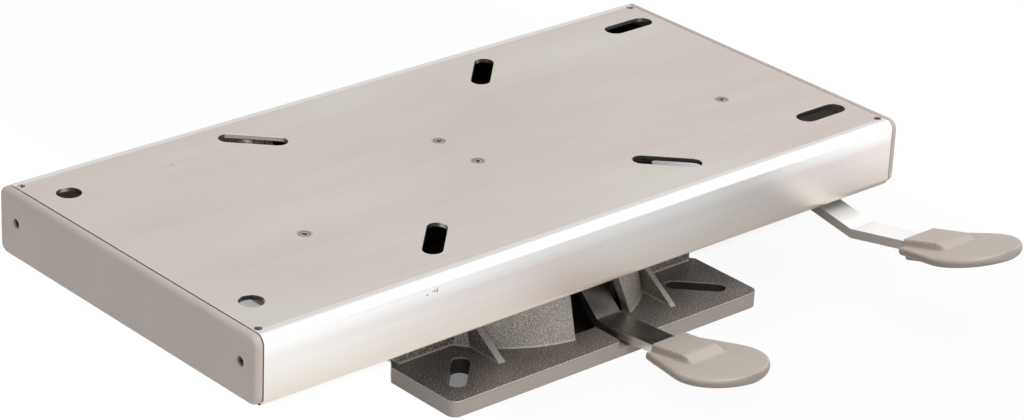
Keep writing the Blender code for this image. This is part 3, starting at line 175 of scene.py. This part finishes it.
def boardShine(tree, place, ray):
    # At least 1 to the camera. To what mirrors the board it falls off to the right, and comes back at the skirt's end.
    across = addNode(tree, "SeparateXYZ", place, output="X")
    low, high = studio["mirrored"]
    fall = addNode(tree, "MapRange", across, *studio["mirrorFall"], high, low)
    rise = addNode(tree, "MapRange", across, *studio["mirrorRise"], low, high)
    mirrored = addNode(tree, "Math", fall, rise, operation="MAXIMUM")
    strength = addNode(tree, "Math", ray["Is Camera Ray"], mirrored, operation="MAXIMUM")
    return addNode(tree, "Emission", Color=linear(studio["white"]), Strength=strength)


def makeBoard():
    # White to the camera, with the shadow kept; unlit under the base, where no light comes in, and a painted shadow
    # darkens its colour there
    half = studio["boardSize"] / 2
    corners = [(-half, -half, 0.0), (half, -half, 0.0), (half, half, 0.0), (-half, half, 0.0)]
    mesh = bpy.data.meshes.new("floor")
    mesh.from_pydata(corners, [], [(0, 1, 2, 3)])
    floor = bpy.data.objects.new("floor", mesh)
    scene.collection.objects.link(floor)
    material = bpy.data.materials.new("matt_white_board")
    material.use_nodes = True
    tree = material.node_tree
    shader = tree.nodes["Principled BSDF"]
    shader.inputs["Roughness"].default_value = studio["boardRoughness"]
    place = addNode(tree, "TexCoord", output="Object")
    lit, covered = openAir(tree, place)
    board = linear(studio["boardColour"])
    # painted shadow: the board's colour goes dark under the platform
    board = addNode(tree, "Mix", covered, linear(studio["paintedShadowColour"]), board, data_type="RGBA")
    tree.links.new(board, shader.inputs["Base Color"])
    ray = tree.nodes.new("ShaderNodeLightPath").outputs
    indirect = addNode(tree, "Math", ray["Is Glossy Ray"], ray["Is Transmission Ray"], operation="MAXIMUM")
    direct = addNode(tree, "Math", ray["Is Camera Ray"], studio["boardWhite"], operation="MULTIPLY")
    seen = addNode(tree, "Math", direct, indirect, operation="MAXIMUM")
    share = addNode(tree, "Math", seen, lit, operation="MULTIPLY")
    mixed = addNode(tree, "MixShader", share, shader.outputs[0], boardShine(tree, place, ray))
    tree.links.new(mixed, tree.nodes["Material Output"].inputs["Surface"])
    mesh.materials.append(material)


def makeWorld():
    # Lights evenly, and shows a white studio in front and a pale grey wall behind
    world = bpy.data.worlds.new("white_studio")
    world.use_nodes = True
    scene.world = world
    tree = world.node_tree
    tree.nodes.clear()
    white = linear(studio["white"])
    light = addNode(tree, "Background", Color=white, Strength=studio["worldLight"])
    way = addNode(tree, "SeparateXYZ", addNode(tree, "TexCoord", output="Generated"), output="Y")
    back = addNode(tree, "MapRange", way, *studio["wallRise"], 0.0, 1.0)
    wall = addNode(tree, "Mix", back, white, linear(studio["wall"]), data_type="RGBA")
    shown = addNode(tree, "Background", Color=wall, Strength=1.0)
    ray = tree.nodes.new("ShaderNodeLightPath").outputs
    seen = addNode(tree, "Math", ray["Is Camera Ray"], ray["Is Glossy Ray"], operation="MAXIMUM")
    seen = addNode(tree, "Math", seen, ray["Is Transmission Ray"], operation="MAXIMUM")
    addNode(tree, "OutputWorld", Surface=addNode(tree, "MixShader", seen, light, shown))


def makeLamps():
    for name, place, side, watts in studio["lamps"]:
        data = bpy.data.lights.new(name, "AREA")
        data.size = side
        data.energy = watts
        lamp = bpy.data.objects.new(name, data)
        scene.collection.objects.link(lamp)
        lamp.location = place
        lamp.rotation_euler = (Vector(studio["aim"]) - Vector(place)).to_track_quat("-Z", "Y").to_euler()


makeBoard()
makeWorld()
makeLamps()
print("studio: done")


def newMaterial(name, **constants):
    # Each material is named for its finish and takes its scales from sizes on the real surface, in millimetres
    material = bpy.data.materials.new(name)
    material.use_nodes = True
    shader = material.node_tree.nodes["Principled BSDF"]
    for socket, value in constants.items():
        shader.inputs[socket].default_value = value
    return material, material.node_tree, shader


def objectPoint(tree, scale=(1.0, 1.0, 1.0)):
    place = addNode(tree, "TexCoord", output="Object")
    return addNode(tree, "Mapping", Vector=place, Scale=scale)


def upwardness(tree):
    # 1 on faces that look up, 0 on walls
    facing = addNode(tree, "NewGeometry", output="Normal")
    return addNode(tree, "SeparateXYZ", facing, output="Z")


def twoTones(tree, value, first, second):
    # goes from the first hex colour to the second as a noise goes through its middle
    share = addNode(tree, "MapRange", value, *noiseMiddle, 0.0, 1.0)
    return addNode(tree, "Mix", share, linear(first), linear(second), data_type="RGBA")


sheet = {
    "pale": "#f1eeea", "warm": "#ebe2df", "toneEnds": (0.58, 0.92),
    "lineMm": 1.4, "lineLengthMm": 260.0, "lineDepthMm": 0.012, "lineWeight": 0.5, "roughness": (0.33, 0.41),
    "lineNoise": (3.0, 0.6),  # detail and roughness of the noise
    "cloudMm": 70.0, "cloudStretch": 0.35,
    # each zone: colour, how far it is mixed in, and its limits in mm from the middle and above the floor
    # painted highlight: white on the rounded bends; painted shade: darker and warmer low on the skirts
    "bend": "#ffffff", "bendHalfMm": 121.0, "bendLowMm": 94.0, "bendTopMm": 101.0,
    "skirt": "#ddd2c2", "skirtShare": 0.8, "skirtLowMm": 62.0, "skirtTopMm": 88.0,
    # painted shade: dark inside the cover
    "inside": "#45413d", "insideHalfMm": 127.4, "insideTopMm": 106.5,
    "cutEdge": "#a39d96", "cutHalfMm": 110.0, "cutTopMm": 108.9,
    "scuff": "#8e867f", "scuffShare": 0.75, "scuffEdge": 0.35, "rivetRingMm": 5.4,
    # small marks seen on the real sheet: place and reach in mm
    "scuffs": (
        ((-159.6, -130.0, 101.0), (2.1, 1.0, 0.6)),
        ((-157.6, -130.0, 101.0), (0.55, 1.0, 2.2)),
        ((-165.2, -130.0, 100.0), (1.0, 1.0, 0.8)),
        ((-189.3, 91.1, 109.2), (1.3, 0.6, 1.0)),
    ),
}


def mark(tree, point, place, reach):
    # 1 inside an ellipsoid of that place and reach, 0 outside it
    scale = [1 / (r * mm) for r in reach]
    shift = [-p / r for p, r in zip(place, reach)]
    near = addNode(tree, "Mapping", Vector=point, Scale=scale, Location=shift)
    ball = addNode(tree, "TexGradient", near, gradient_type="SPHERICAL", output="Fac")
    return addNode(tree, "MapRange", ball, 0.0, sheet["scuffEdge"], 0.0, 1.0)


def rivetPlace(name):
    # middle of a rivet's head, in mm
    corners = np.array(nodes[name].bound_box) / mm
    return (*((corners.min(0) + corners.max(0)) / 2)[:2].tolist(), float(corners.max(0)[2]))


def skirtShadeAndBendHighlight(tree, colour, aside, height):
    # painted shade: the skirts go darker and warmer towards their lower edge; painted highlight: the bends are painted
    # bright white
    outer = addNode(tree, "Math", aside, sheet["bendHalfMm"] * mm, operation="GREATER_THAN")
    for zone, ends in (("skirt", (sheet["skirtShare"], 0.0)), ("bend", (0.0, 1.0))):
        low, top = sheet[zone + "LowMm"] * mm, sheet[zone + "TopMm"] * mm
        blend = addNode(tree, "MapRange", height, low, top, *ends)
        share = addNode(tree, "Math", outer, blend, operation="MULTIPLY")
        colour = addNode(tree, "Mix", share, colour, linear(sheet[zone]), data_type="RGBA")
    return colour


# small marks on the sheet, and a soft dark disc of the same colour round each rivet
def scuffsAndRivetRings(tree, colour, point):
    scuffed = 0.0
    rings = [(rivetPlace(name), (sheet["rivetRingMm"],) * 3) for name in nodes if "_rivet" in name]
    for spot, size in [*sheet["scuffs"], *rings]:
        scuffed = addNode(tree, "Math", mark(tree, point, spot, size), scuffed, operation="MAXIMUM")
    share = addNode(tree, "Math", scuffed, sheet["scuffShare"], operation="MULTIPLY")
    return addNode(tree, "Mix", share, colour, linear(sheet["scuff"]), data_type="RGBA")


def greySlotWallsAndInsideShade(tree, colour, aside, height):
    # the slots' walls are greyer, and painted shade makes the cover's inside dark
    for zone, hexColour in (("cut", "cutEdge"), ("inside", "inside")):
        near = addNode(tree, "Math", aside, sheet[zone + "HalfMm"] * mm, operation="LESS_THAN")
        low = addNode(tree, "Math", height, sheet[zone + "TopMm"] * mm, operation="LESS_THAN")
        share = addNode(tree, "Math", near, low, operation="MULTIPLY")
        colour = addNode(tree, "Mix", share, colour, linear(sheet[hexColour]), data_type="RGBA")
    return colour


def millFinishSheet():
    # Stainless sheet with a mill finish: long faint brush lines along X and broad soft clouds
    material, tree, shader = newMaterial("mill_finish_stainless_sheet", Metallic=1.0)
    point = objectPoint(tree)
    lineAcross, lineAlong = 1 / (sheet["lineMm"] * mm), 1 / (sheet["lineLengthMm"] * mm)
    brushed = objectPoint(tree, (lineAlong, lineAcross, lineAcross))
    lines = addNode(tree, "TexNoise", brushed, 1.0, *sheet["lineNoise"])
    stretched = objectPoint(tree, (sheet["cloudStretch"], 1.0, 1.0))
    clouds = addNode(tree, "TexNoise", stretched, 1 / (sheet["cloudMm"] * mm))
    faint = addNode(tree, "Math", lines, sheet["lineWeight"], operation="MULTIPLY")
    tone = addNode(tree, "Math", faint, clouds, operation="ADD")
    share = addNode(tree, "MapRange", tone, *sheet["toneEnds"], 0.0, 1.0)
    colour = addNode(tree, "Mix", share, linear(sheet["warm"]), linear(sheet["pale"]), data_type="RGBA")
    height = addNode(tree, "SeparateXYZ", point, output="Z")
    aside = addNode(tree, "Math", addNode(tree, "SeparateXYZ", point, output="Y"), operation="ABSOLUTE")
    colour = skirtShadeAndBendHighlight(tree, colour, aside, height)
    colour = scuffsAndRivetRings(tree, colour, point)
    colour = greySlotWallsAndInsideShade(tree, colour, aside, height)
    tree.links.new(colour, shader.inputs["Base Color"])
    rough = addNode(tree, "MapRange", lines, *noiseMiddle, *sheet["roughness"])
    tree.links.new(rough, shader.inputs["Roughness"])
    raised = addNode(tree, "Bump", Distance=sheet["lineDepthMm"] * mm, Height=lines)
    tree.links.new(raised, shader.inputs["Normal"])
    return material


nearBlack = {"dark": "#2b2826", "light": "#3d3935", "blotchMm": 8.0, "blotchDetail": 3.0, "roughness": (0.34, 0.5)}


def nearlyBlackSteel():
    # Pressed steel made nearly black, with a soft sheen. Inside the cover it stands for painted shade, keeping what
    # shows through the slots dark.
    material, tree, shader = newMaterial("nearly_black_steel", Metallic=0.6)
    point = objectPoint(tree)
    blotch = addNode(tree, "TexNoise", point, 1 / (nearBlack["blotchMm"] * mm), nearBlack["blotchDetail"])
    tree.links.new(twoTones(tree, blotch, nearBlack["dark"], nearBlack["light"]), shader.inputs["Base Color"])
    rough = addNode(tree, "MapRange", blotch, *noiseMiddle, *nearBlack["roughness"])
    tree.links.new(rough, shader.inputs["Roughness"])
    return material


foundry = {
    "dark": "#79706a", "light": "#988e86", "toneMm": 30.0,
    "gritMm": 1.0, "gritDepthMm": 0.6, "edgeGrit": 0.1,
    "gritNoise": (1.0, 0.6),  # detail and roughness of the noise
    # where the grit's pits and glints start and end in its noise, and how far they are mixed in
    "pit": "#3a332f", "pitEnds": (0.34, 0.48, 0.6, 0.0),
    "glint": "#d5cfc8", "glintEnds": (0.53, 0.68, 0.0, 0.75),
    "roughnessEnds": (0.35, 0.65, 0.55, 0.28),
    # the plate's dressed side faces: smooth, and painted lighter where the front light falls on them
    "edge": "#a79f97", "plateTopMm": 10.4, "edgeFadeMm": 0.8,
    # painted shade on the walls of the floor slots and under the plate
    "slotWallShade": "#4d4641", "slotHalfMm": (118.0, 106.0),
    # painted highlight: faces that slope between these, and a line at these heights on what is steeper than that
    "paintedHighlight": "#e0d9d1", "paintedHighlightShare": 0.7, "slopeFrom": (0.12, 0.35), "slopeTo": (0.85, 0.97),
    "lineFromMm": (10.1, 10.6), "lineToMm": (12.0, 12.6), "steep": (0.6, 0.9),
}


def slotWalls(tree, point, height):
    # 1 below the plate's top and within its outer edge, which leaves the walls of the floor slots
    aside = addNode(tree, "VectorMath", point, operation="ABSOLUTE")
    limits = [
        addNode(tree, "Math", addNode(tree, "SeparateXYZ", aside, output=axis), half * mm, operation="LESS_THAN")
        for axis, half in zip("XY", foundry["slotHalfMm"])
    ]
    within = addNode(tree, "Math", *limits, operation="MULTIPLY")
    low = addNode(tree, "Math", height, foundry["plateTopMm"] * mm, operation="LESS_THAN")
    return addNode(tree, "Math", within, low, operation="MULTIPLY")


def paintedHighlightPlaces(tree, height):
    # painted highlight on sloping faces and rounded rims, the plate's dressed edge, and where the walls stand on the
    # plate
    slope = upwardness(tree)
    tilted = addNode(tree, "MapRange", slope, *foundry["slopeFrom"], 0.0, 1.0)
    notFlat = addNode(tree, "MapRange", slope, *foundry["slopeTo"], 1.0, 0.0)
    sloping = addNode(tree, "Math", tilted, notFlat, operation="MULTIPLY")
    above = addNode(tree, "MapRange", height, *[h * mm for h in foundry["lineFromMm"]], 0.0, 1.0)
    below = addNode(tree, "MapRange", height, *[h * mm for h in foundry["lineToMm"]], 1.0, 0.0)
    steep = addNode(tree, "MapRange", slope, *foundry["steep"], 1.0, 0.0)
    line = addNode(tree, "Math", above, below, operation="MULTIPLY")
    line = addNode(tree, "Math", line, steep, operation="MULTIPLY")
    paintedHighlight = addNode(tree, "Math", sloping, line, operation="MAXIMUM")
    return addNode(tree, "Math", paintedHighlight, foundry["paintedHighlightShare"], operation="MULTIPLY")


def sandCastIron():
    # Sand-cast iron under a thin grey paint: a grit that sparkles, dressed plate edges painted lighter, painted shade
    # in the floor slots, and painted highlights on rims and slopes
    material, tree, shader = newMaterial("sand_cast_painted_iron", Metallic=0.25)
    point = objectPoint(tree)
    grit = addNode(tree, "TexNoise", point, 1 / (foundry["gritMm"] * mm), *foundry["gritNoise"])
    tones = addNode(tree, "TexNoise", point, 1 / (foundry["toneMm"] * mm))
    height = addNode(tree, "SeparateXYZ", point, output="Z")
    plateTop = foundry["plateTopMm"] * mm
    rough = addNode(tree, "MapRange", height, plateTop - foundry["edgeFadeMm"] * mm, plateTop, 0.0, 1.0)
    colour = twoTones(tree, tones, foundry["dark"], foundry["light"])
    for grain in ("pit", "glint"):
        share = addNode(tree, "MapRange", grit, *foundry[grain + "Ends"])
        colour = addNode(tree, "Mix", share, colour, linear(foundry[grain]), data_type="RGBA")
    # painted light: the plate's smooth side faces are painted lighter
    colour = addNode(tree, "Mix", rough, linear(foundry["edge"]), colour, data_type="RGBA")
    # painted shade: the walls of the floor slots are painted dark
    wall = slotWalls(tree, point, height)
    colour = addNode(tree, "Mix", wall, colour, linear(foundry["slotWallShade"]), data_type="RGBA")
    # painted highlight on sloping faces, rims and the lines where walls meet the plate
    paintedHighlight = paintedHighlightPlaces(tree, height)
    colour = addNode(tree, "Mix", paintedHighlight, colour, linear(foundry["paintedHighlight"]), data_type="RGBA")
    tree.links.new(colour, shader.inputs["Base Color"])
    tree.links.new(addNode(tree, "MapRange", grit, *foundry["roughnessEnds"]), shader.inputs["Roughness"])
    kept = addNode(tree, "MapRange", rough, 0.0, 1.0, foundry["edgeGrit"], 1.0)
    relief = addNode(tree, "Math", grit, kept, operation="MULTIPLY")
    raised = addNode(tree, "Bump", Distance=foundry["gritDepthMm"] * mm, Height=relief)
    tree.links.new(raised, shader.inputs["Normal"])
    return material


# Moulded pieces: two close tones, roughness, grain and its depth in mm, and the rim's painted shade where there is one
moulded = {
    "grained_cap_plastic": ("#beb5b0", "#b6aca6", 0.5, 0.8, 0.03, None),
    "smooth_paddle_plastic": ("#b8b1a8", "#baaca1", 0.42, 1.6, 0.015, "#8d857b"),
    "natural_nylon": ("#e3e0d6", "#dcd8cc", 0.45, 1.2, 0.02, None),
    "pressed_brake_lining": ("#4a423d", "#3a342f", 0.8, 0.7, 0.15, None),
    "moulded_black_rubber": ("#1f1e1d", "#191817", 0.7, 0.9, 0.05, None),
}
mouldedTone = {"toneMm": 60.0, "roughnessSpread": 0.05, "rimEnds": (0.1, 0.9)}


def mouldedPlastic(name):
    # Moulded with a fine matt grain and a very slight change of tone
    colour, shade, rough, grainMm, grainDepthMm, rim = moulded[name]
    material, tree, shader = newMaterial(name, IOR=1.48)
    point = objectPoint(tree)
    grain = addNode(tree, "TexNoise", point, 1 / (grainMm * mm))
    tint = twoTones(tree, addNode(tree, "TexNoise", point, 1 / (mouldedTone["toneMm"] * mm)), shade, colour)
    if rim:
        # painted shade: the rim and underside are painted darker than the flat top
        top = addNode(tree, "MapRange", upwardness(tree), *mouldedTone["rimEnds"], 0.0, 1.0)
        tint = addNode(tree, "Mix", top, linear(rim), tint, data_type="RGBA")
    tree.links.new(tint, shader.inputs["Base Color"])
    spread = mouldedTone["roughnessSpread"]
    matt = addNode(tree, "MapRange", grain, *noiseMiddle, rough - spread, rough + spread)
    tree.links.new(matt, shader.inputs["Roughness"])
    raised = addNode(tree, "Bump", Distance=grainDepthMm * mm, Height=grain)
    tree.links.new(raised, shader.inputs["Normal"])
    return material


brightZinc = {"dark": "#dcd7d1", "light": "#ebe7e2", "blotchMm": 16.0, "roughness": (0.26, 0.32)}


def platedZinc():
    # Bright zinc plating on steel: a smooth grey metal that mirrors what is round it, with soft blotches
    material, tree, shader = newMaterial("zinc_plated_steel", Metallic=1.0)
    blotch = addNode(tree, "TexNoise", objectPoint(tree), 1 / (brightZinc["blotchMm"] * mm))
    tree.links.new(twoTones(tree, blotch, brightZinc["dark"], brightZinc["light"]), shader.inputs["Base Color"])
    rough = addNode(tree, "MapRange", blotch, *noiseMiddle, *brightZinc["roughness"])
    tree.links.new(rough, shader.inputs["Roughness"])
    return material


# painted light: white on the lever's tops and grey on its sides
paintedLightZinc = {"top": "#ffffff", "side": "#b4aea7", "roughness": 0.42, "topEnds": (0.35, 0.65)}


def satinZincWithPaintedLight():
    # Satin zinc plating with painted light: nearly white on the faces that look up, and painted shade, grey, on the
    # sheared sides
    material, tree, shader = newMaterial("zinc_plated_steel_satin", Metallic=0.3, Roughness=paintedLightZinc["roughness"])
    top = addNode(tree, "MapRange", upwardness(tree), *paintedLightZinc["topEnds"], 0.0, 1.0)
    colour = addNode(tree, "Mix", top, linear(paintedLightZinc["side"]), linear(paintedLightZinc["top"]), data_type="RGBA")
    tree.links.new(colour, shader.inputs["Base Color"])
    return material


rivet = {
    "dark": "#35312e", "light": "#dcd6cf", "reachMm": 5.0, "speckleMm": 1.8, "speckleWeight": 0.5, "speckleMiddle": 0.25,
    "roughness": 0.35, "rimEnds": (0.36, 0.44), "hollowEnds": (0.6, 0.7),
}


def rivetHead(name):
    # A pulled rivet's head: dark round its rim, painted shade in its hollow middle, and bright between them
    material, tree, shader = newMaterial("pulled_rivet_" + name, Metallic=0.8, Roughness=rivet["roughness"])
    acrossMm, alongMm = rivetPlace(name)[:2]
    reachMm = rivet["reachMm"]
    point = objectPoint(tree)
    scale = (1 / (reachMm * mm), 1 / (reachMm * mm), 0.0)
    shift = (-acrossMm / reachMm, -alongMm / reachMm, 0.0)
    near = addNode(tree, "Mapping", Vector=point, Scale=scale, Location=shift)
    inwards = addNode(tree, "TexGradient", near, gradient_type="SPHERICAL", output="Fac")
    speckle = addNode(tree, "TexNoise", point, 1 / (rivet["speckleMm"] * mm))
    ringWobble = addNode(tree, "Math", speckle, rivet["speckleWeight"], operation="MULTIPLY")
    ringWobble = addNode(tree, "Math", ringWobble, rivet["speckleMiddle"], operation="SUBTRACT")
    inwards = addNode(tree, "Math", inwards, ringWobble, operation="ADD")
    rim = addNode(tree, "MapRange", inwards, *rivet["rimEnds"], 0.0, 1.0)
    hollow = addNode(tree, "MapRange", inwards, *rivet["hollowEnds"], 1.0, 0.0)
    bright = addNode(tree, "Math", rim, hollow, operation="MULTIPLY")
    colour = addNode(tree, "Mix", bright, linear(rivet["dark"]), linear(rivet["light"]), data_type="RGBA")
    tree.links.new(colour, shader.inputs["Base Color"])
    return material


glideTone = {
    "dark": "#a8a49d", "light": "#c4c0b9", "toneMm": 7.0, "toneDetail": 3.0, "roughness": 0.5,
    "joint": "#5b5650", "lengthMm": 8.5, "jointShare": 0.12,
}


def glideNylon():
    # Grey filled nylon, moulded in short lengths: a dull pale grey with a dirty line at each joint
    material, tree, shader = newMaterial("grey_glide_nylon", IOR=1.53, Roughness=glideTone["roughness"])
    point = objectPoint(tree)
    tone = addNode(tree, "TexNoise", point, 1 / (glideTone["toneMm"] * mm), glideTone["toneDetail"])
    across = addNode(tree, "SeparateXYZ", point, output="X")
    lengths = addNode(tree, "Math", across, glideTone["lengthMm"] * mm, operation="DIVIDE")
    turn = addNode(tree, "Math", lengths, operation="FRACT")
    line = addNode(tree, "Math", turn, glideTone["jointShare"], operation="LESS_THAN")
    tint = twoTones(tree, tone, glideTone["dark"], glideTone["light"])
    colour = addNode(tree, "Mix", line, tint, linear(glideTone["joint"]), data_type="RGBA")
    tree.links.new(colour, shader.inputs["Base Color"])
    return material


springTone = {"dark": "#86827d", "light": "#a29e98", "smearMm": 3.0, "roughness": (0.22, 0.38)}


def oiledSpringSteel():
    # Drawn spring wire and stamped clips, dark and oily
    material, tree, shader = newMaterial("oiled_spring_steel", Metallic=1.0)
    smear = addNode(tree, "TexNoise", objectPoint(tree), 1 / (springTone["smearMm"] * mm))
    tree.links.new(twoTones(tree, smear, springTone["dark"], springTone["light"]), shader.inputs["Base Color"])
    rough = addNode(tree, "MapRange", smear, *noiseMiddle, *springTone["roughness"])
    tree.links.new(rough, shader.inputs["Roughness"])
    return material


steelSheet, blackSteel, castIron = millFinishSheet(), nearlyBlackSteel(), sandCastIron()
capPlastic, paddlePlastic = mouldedPlastic("grained_cap_plastic"), mouldedPlastic("smooth_paddle_plastic")
nylon, lining = mouldedPlastic("natural_nylon"), mouldedPlastic("pressed_brake_lining")
rubber = mouldedPlastic("moulded_black_rubber")
zinc, satinZinc, glide, springSteel = platedZinc(), satinZincWithPaintedLight(), glideNylon(), oiledSpringSteel()
print("materials: done")

finishes = {
    "platform_cover": steelSheet, "turntable_disc": blackSteel, "carriage_channel": blackSteel,
    "foot_casting": castIron, "slide_lever_arm": satinZinc,
    "thrust_ring": nylon, "brake_strip": lining, "swivel_brake_pad": lining,
    "slide_lever_paddle": paddlePlastic, "swivel_lever_paddle": paddlePlastic,
}
familyFinishes = (
    ("end_cap", capPlastic), ("glide", glide), ("stop_buffer", rubber),
    ("pin_clip", springSteel), ("shaft_clip", springSteel),
    ("cap_screw", blackSteel), ("corner_bracket", blackSteel), ("carriage_bolt", blackSteel),
)


def finishOf(name):
    if name in finishes:
        return finishes[name]
    if "_rivet" in name:
        return rivetHead(name)
    for start, material in familyFinishes:
        if name.startswith(start):
            return material
    return springSteel if name.endswith("spring") else zinc


for name, piece in nodes.items():
    piece.data.materials.clear()
    piece.data.materials.append(finishOf(name))
print("solids: dressed")

# Solids shown as a merged copy with rounded edges: the rounding in mm, its steps, and the material slot
rounded = {
    "platform_cover": (0.35, 2, "brushed_steel"),
    "foot_casting": (0.9, 3, "cast_foot"),
    "slide_lever_arm": (0.5, 2, "zinc_steel"),
    "swivel_lever_arm": (0.5, 2, "zinc_steel"),
    "end_cap_left": (0.3, 2, "cap_plastic"),
    "end_cap_right": (0.3, 2, "cap_plastic"),
}
rounding = {"mergeMm": 0.002, "flatDegrees": 0.5, "sharpDegrees": 28.0}


def roundEdges(piece, name, widthMm, steps, sharpDegrees):
    edge = piece.modifiers.new(name, "BEVEL")
    edge.width = widthMm * mm
    edge.segments = steps
    edge.limit_method = "ANGLE"
    edge.angle_limit = math.radians(sharpDegrees)


def standFor(piece, source):
    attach(piece, nodes[source]["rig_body"])
    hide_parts(source)


def roundedCopy(source, widthMm, steps, slotName):
    mesh = nodes[source].data.copy()
    shape = bmesh.new()
    shape.from_mesh(mesh)
    bmesh.ops.remove_doubles(shape, verts=shape.verts, dist=rounding["mergeMm"] * mm)
    flat = math.radians(rounding["flatDegrees"])
    bmesh.ops.dissolve_limit(shape, angle_limit=flat, verts=shape.verts, edges=shape.edges)
    shape.to_mesh(mesh)
    shape.free()
    mesh.name = source + "_dressed"
    mesh.shade_smooth()
    piece = bpy.data.objects.new(source + "_dressed", mesh)
    scene.collection.objects.link(piece)
    roundEdges(piece, "rounded_edges", widthMm, steps, rounding["sharpDegrees"])
    piece.modifiers.new("flat_faces_stay_flat", "WEIGHTED_NORMAL").keep_sharp = True
    standFor(piece, source)


for source, choice in rounded.items():
    roundedCopy(source, *choice)
print("main pieces: done")

# Paddle sizes in mm
paddle = {
    "length": 76.3, "discRadius": 31.9, "thick": 6.0, "rounding": 2.6, "mouthHalf": 20.0, "drop": 0.5,
    "socketHalf": 15.6, "socketLength": 27.0, "socketRamp": 12.0, "socketRise": 3.1, "socketFloor": 10.8,
    "wall": 1.8, "groove": 1.3, "grooveWidth": 1.7, "grooveAside": 0.6, "tipSlack": 0.4,
    "stations": 120, "flatPoints": 72, "cornerPoints": 7,
    "mergeMm": 0.01, "mouthEdgeMm": 0.5, "mouthEdgeSteps": 2, "mouthDegrees": 50.0,
    "pitch": 3.9,  # degrees
    # where each mouth is, and how far its bar rises outwards, in degrees
    "mouths": {
        "slide_lever_paddle": ((191.8, -196.0, 61.8), 11.25),
        "swivel_lever_paddle": ((22.8, -144.7, 17.2), 3.87),
    },
}


def easing(share):
    # 0 below 0 and 1 above 1. Between them, the share squared times three less twice the share.
    share = np.clip(share, 0.0, 1.0)
    return share * share * (3.0 - 2.0 * share)


def paddleHalfWidth(along):
    # Half the paddle's width at each distance from the mouth: straight flanks that touch the disc, then its arc
    radius, middle = paddle["discRadius"], paddle["length"] - paddle["discRadius"]
    mouth = paddle["mouthHalf"]
    far = math.hypot(mouth, middle)
    lean = math.atan2(middle, -mouth) - math.asin(radius / far)
    run = math.sqrt(far**2 - radius**2)
    touch, touchHalf = run * math.sin(lean), mouth + run * math.cos(lean)
    flank = mouth + (touchHalf - mouth) * along / touch
    arc = np.sqrt(np.maximum(radius**2 - (along - middle) ** 2, 0.0))
    return np.where(along < touch, flank, arc)


def paddleOutline(along):
    # Around each section: the top from left to right, a half-round edge, the underside back, and an edge again.
    # x is the flat's half width, less the rounding, plus the edge's round; z is half the thickness, up or down.
    flat, corner = paddle["flatPoints"], paddle["cornerPoints"]
    half = paddleHalfWidth(along)[:, None]
    soft = np.minimum(paddle["rounding"], half)
    across = np.linspace(-1.0, 1.0, flat)
    bend = np.linspace(math.pi / 2, -math.pi / 2, corner + 2)[1:-1]
    x = np.concatenate([across, np.ones(corner), -across, -np.ones(corner)])[None, :] * (half - soft)
    x = x + np.concatenate([np.zeros(flat), np.cos(bend), np.zeros(flat), -np.cos(bend)])[None, :] * soft
    level = np.concatenate([np.ones(flat), np.sin(bend), -np.ones(flat), -np.sin(bend)])[None, :]
    z = -paddle["drop"] - paddle["thick"] / 2 + level * np.minimum(paddle["thick"] / 2, half + paddle["tipSlack"])
    return x, z


def paddleSurface():
    # Along: the length times the sine of even steps up to a quarter turn, so the rows crowd towards the tip.
    # The socket rises on the top and hangs below, near the mouth: its height eases in over its walls and out
    # over its ramp. Beside it on the top runs a groove, a bell curve of the distance from its middle.
    along = paddle["length"] * np.sin(np.linspace(0.0, math.pi / 2, paddle["stations"]))
    x, z = paddleOutline(along)
    y = np.broadcast_to(-along[:, None], x.shape)
    ramp = 1.0 - easing((along - paddle["socketLength"]) / paddle["socketRamp"])[:, None]
    raised = easing((paddle["socketHalf"] - np.abs(x)) / paddle["wall"])
    aside = np.abs(x) - paddle["socketHalf"] - paddle["grooveWidth"] * paddle["grooveAside"]
    groove = np.exp(-((aside / paddle["grooveWidth"]) ** 2)) * ramp
    up = (paddle["socketRise"] + paddle["drop"]) * raised * ramp - paddle["groove"] * groove
    down = (paddle["socketFloor"] - paddle["drop"] - paddle["thick"]) * raised * ramp
    column, flat = np.arange(x.shape[1]), paddle["flatPoints"]
    lowStart = flat + paddle["cornerPoints"]
    isTop = (column < flat)[None, :]
    isLow = ((column >= lowStart) & (column < lowStart + flat))[None, :]
    return np.stack([x, y, z + up * isTop - down * isLow], axis=-1)


def makePaddle(name):
    mouth, rise = paddle["mouths"][name]
    grid = paddleSurface()
    rows, columns = grid.shape[:2]
    turn = math.radians(-(rise + paddle["pitch"]))
    c, s = math.cos(turn), math.sin(turn)
    points = grid.reshape(-1, 3) @ np.array([[1, 0, 0], [0, c, -s], [0, s, c]]).T + mouth
    row = np.arange(rows - 1)[:, None] * columns
    column = np.arange(columns)[None, :]
    ahead = (column + 1) % columns
    around = [row + column, row + ahead, row + columns + ahead, row + columns + column]
    quads = np.stack(around, axis=-1).reshape(-1, 4)
    ends = [list(range(columns))[::-1], list(range((rows - 1) * columns, rows * columns))]
    mesh = bpy.data.meshes.new(name + "_dressed")
    mesh.from_pydata((points * mm).tolist(), [], quads.tolist() + ends)
    shape = bmesh.new()
    shape.from_mesh(mesh)
    bmesh.ops.remove_doubles(shape, verts=shape.verts, dist=paddle["mergeMm"] * mm)
    bmesh.ops.recalc_face_normals(shape, faces=shape.faces)
    shape.to_mesh(mesh)
    shape.free()
    mesh.materials.append(paddlePlastic)
    mesh.shade_smooth()
    piece = bpy.data.objects.new(name + "_dressed", mesh)
    scene.collection.objects.link(piece)
    roundEdges(piece, "mouth_edge", paddle["mouthEdgeMm"], paddle["mouthEdgeSteps"], paddle["mouthDegrees"])
    standFor(piece, name)


for name in paddle["mouths"]:
    makePaddle(name)
print("paddles: done")
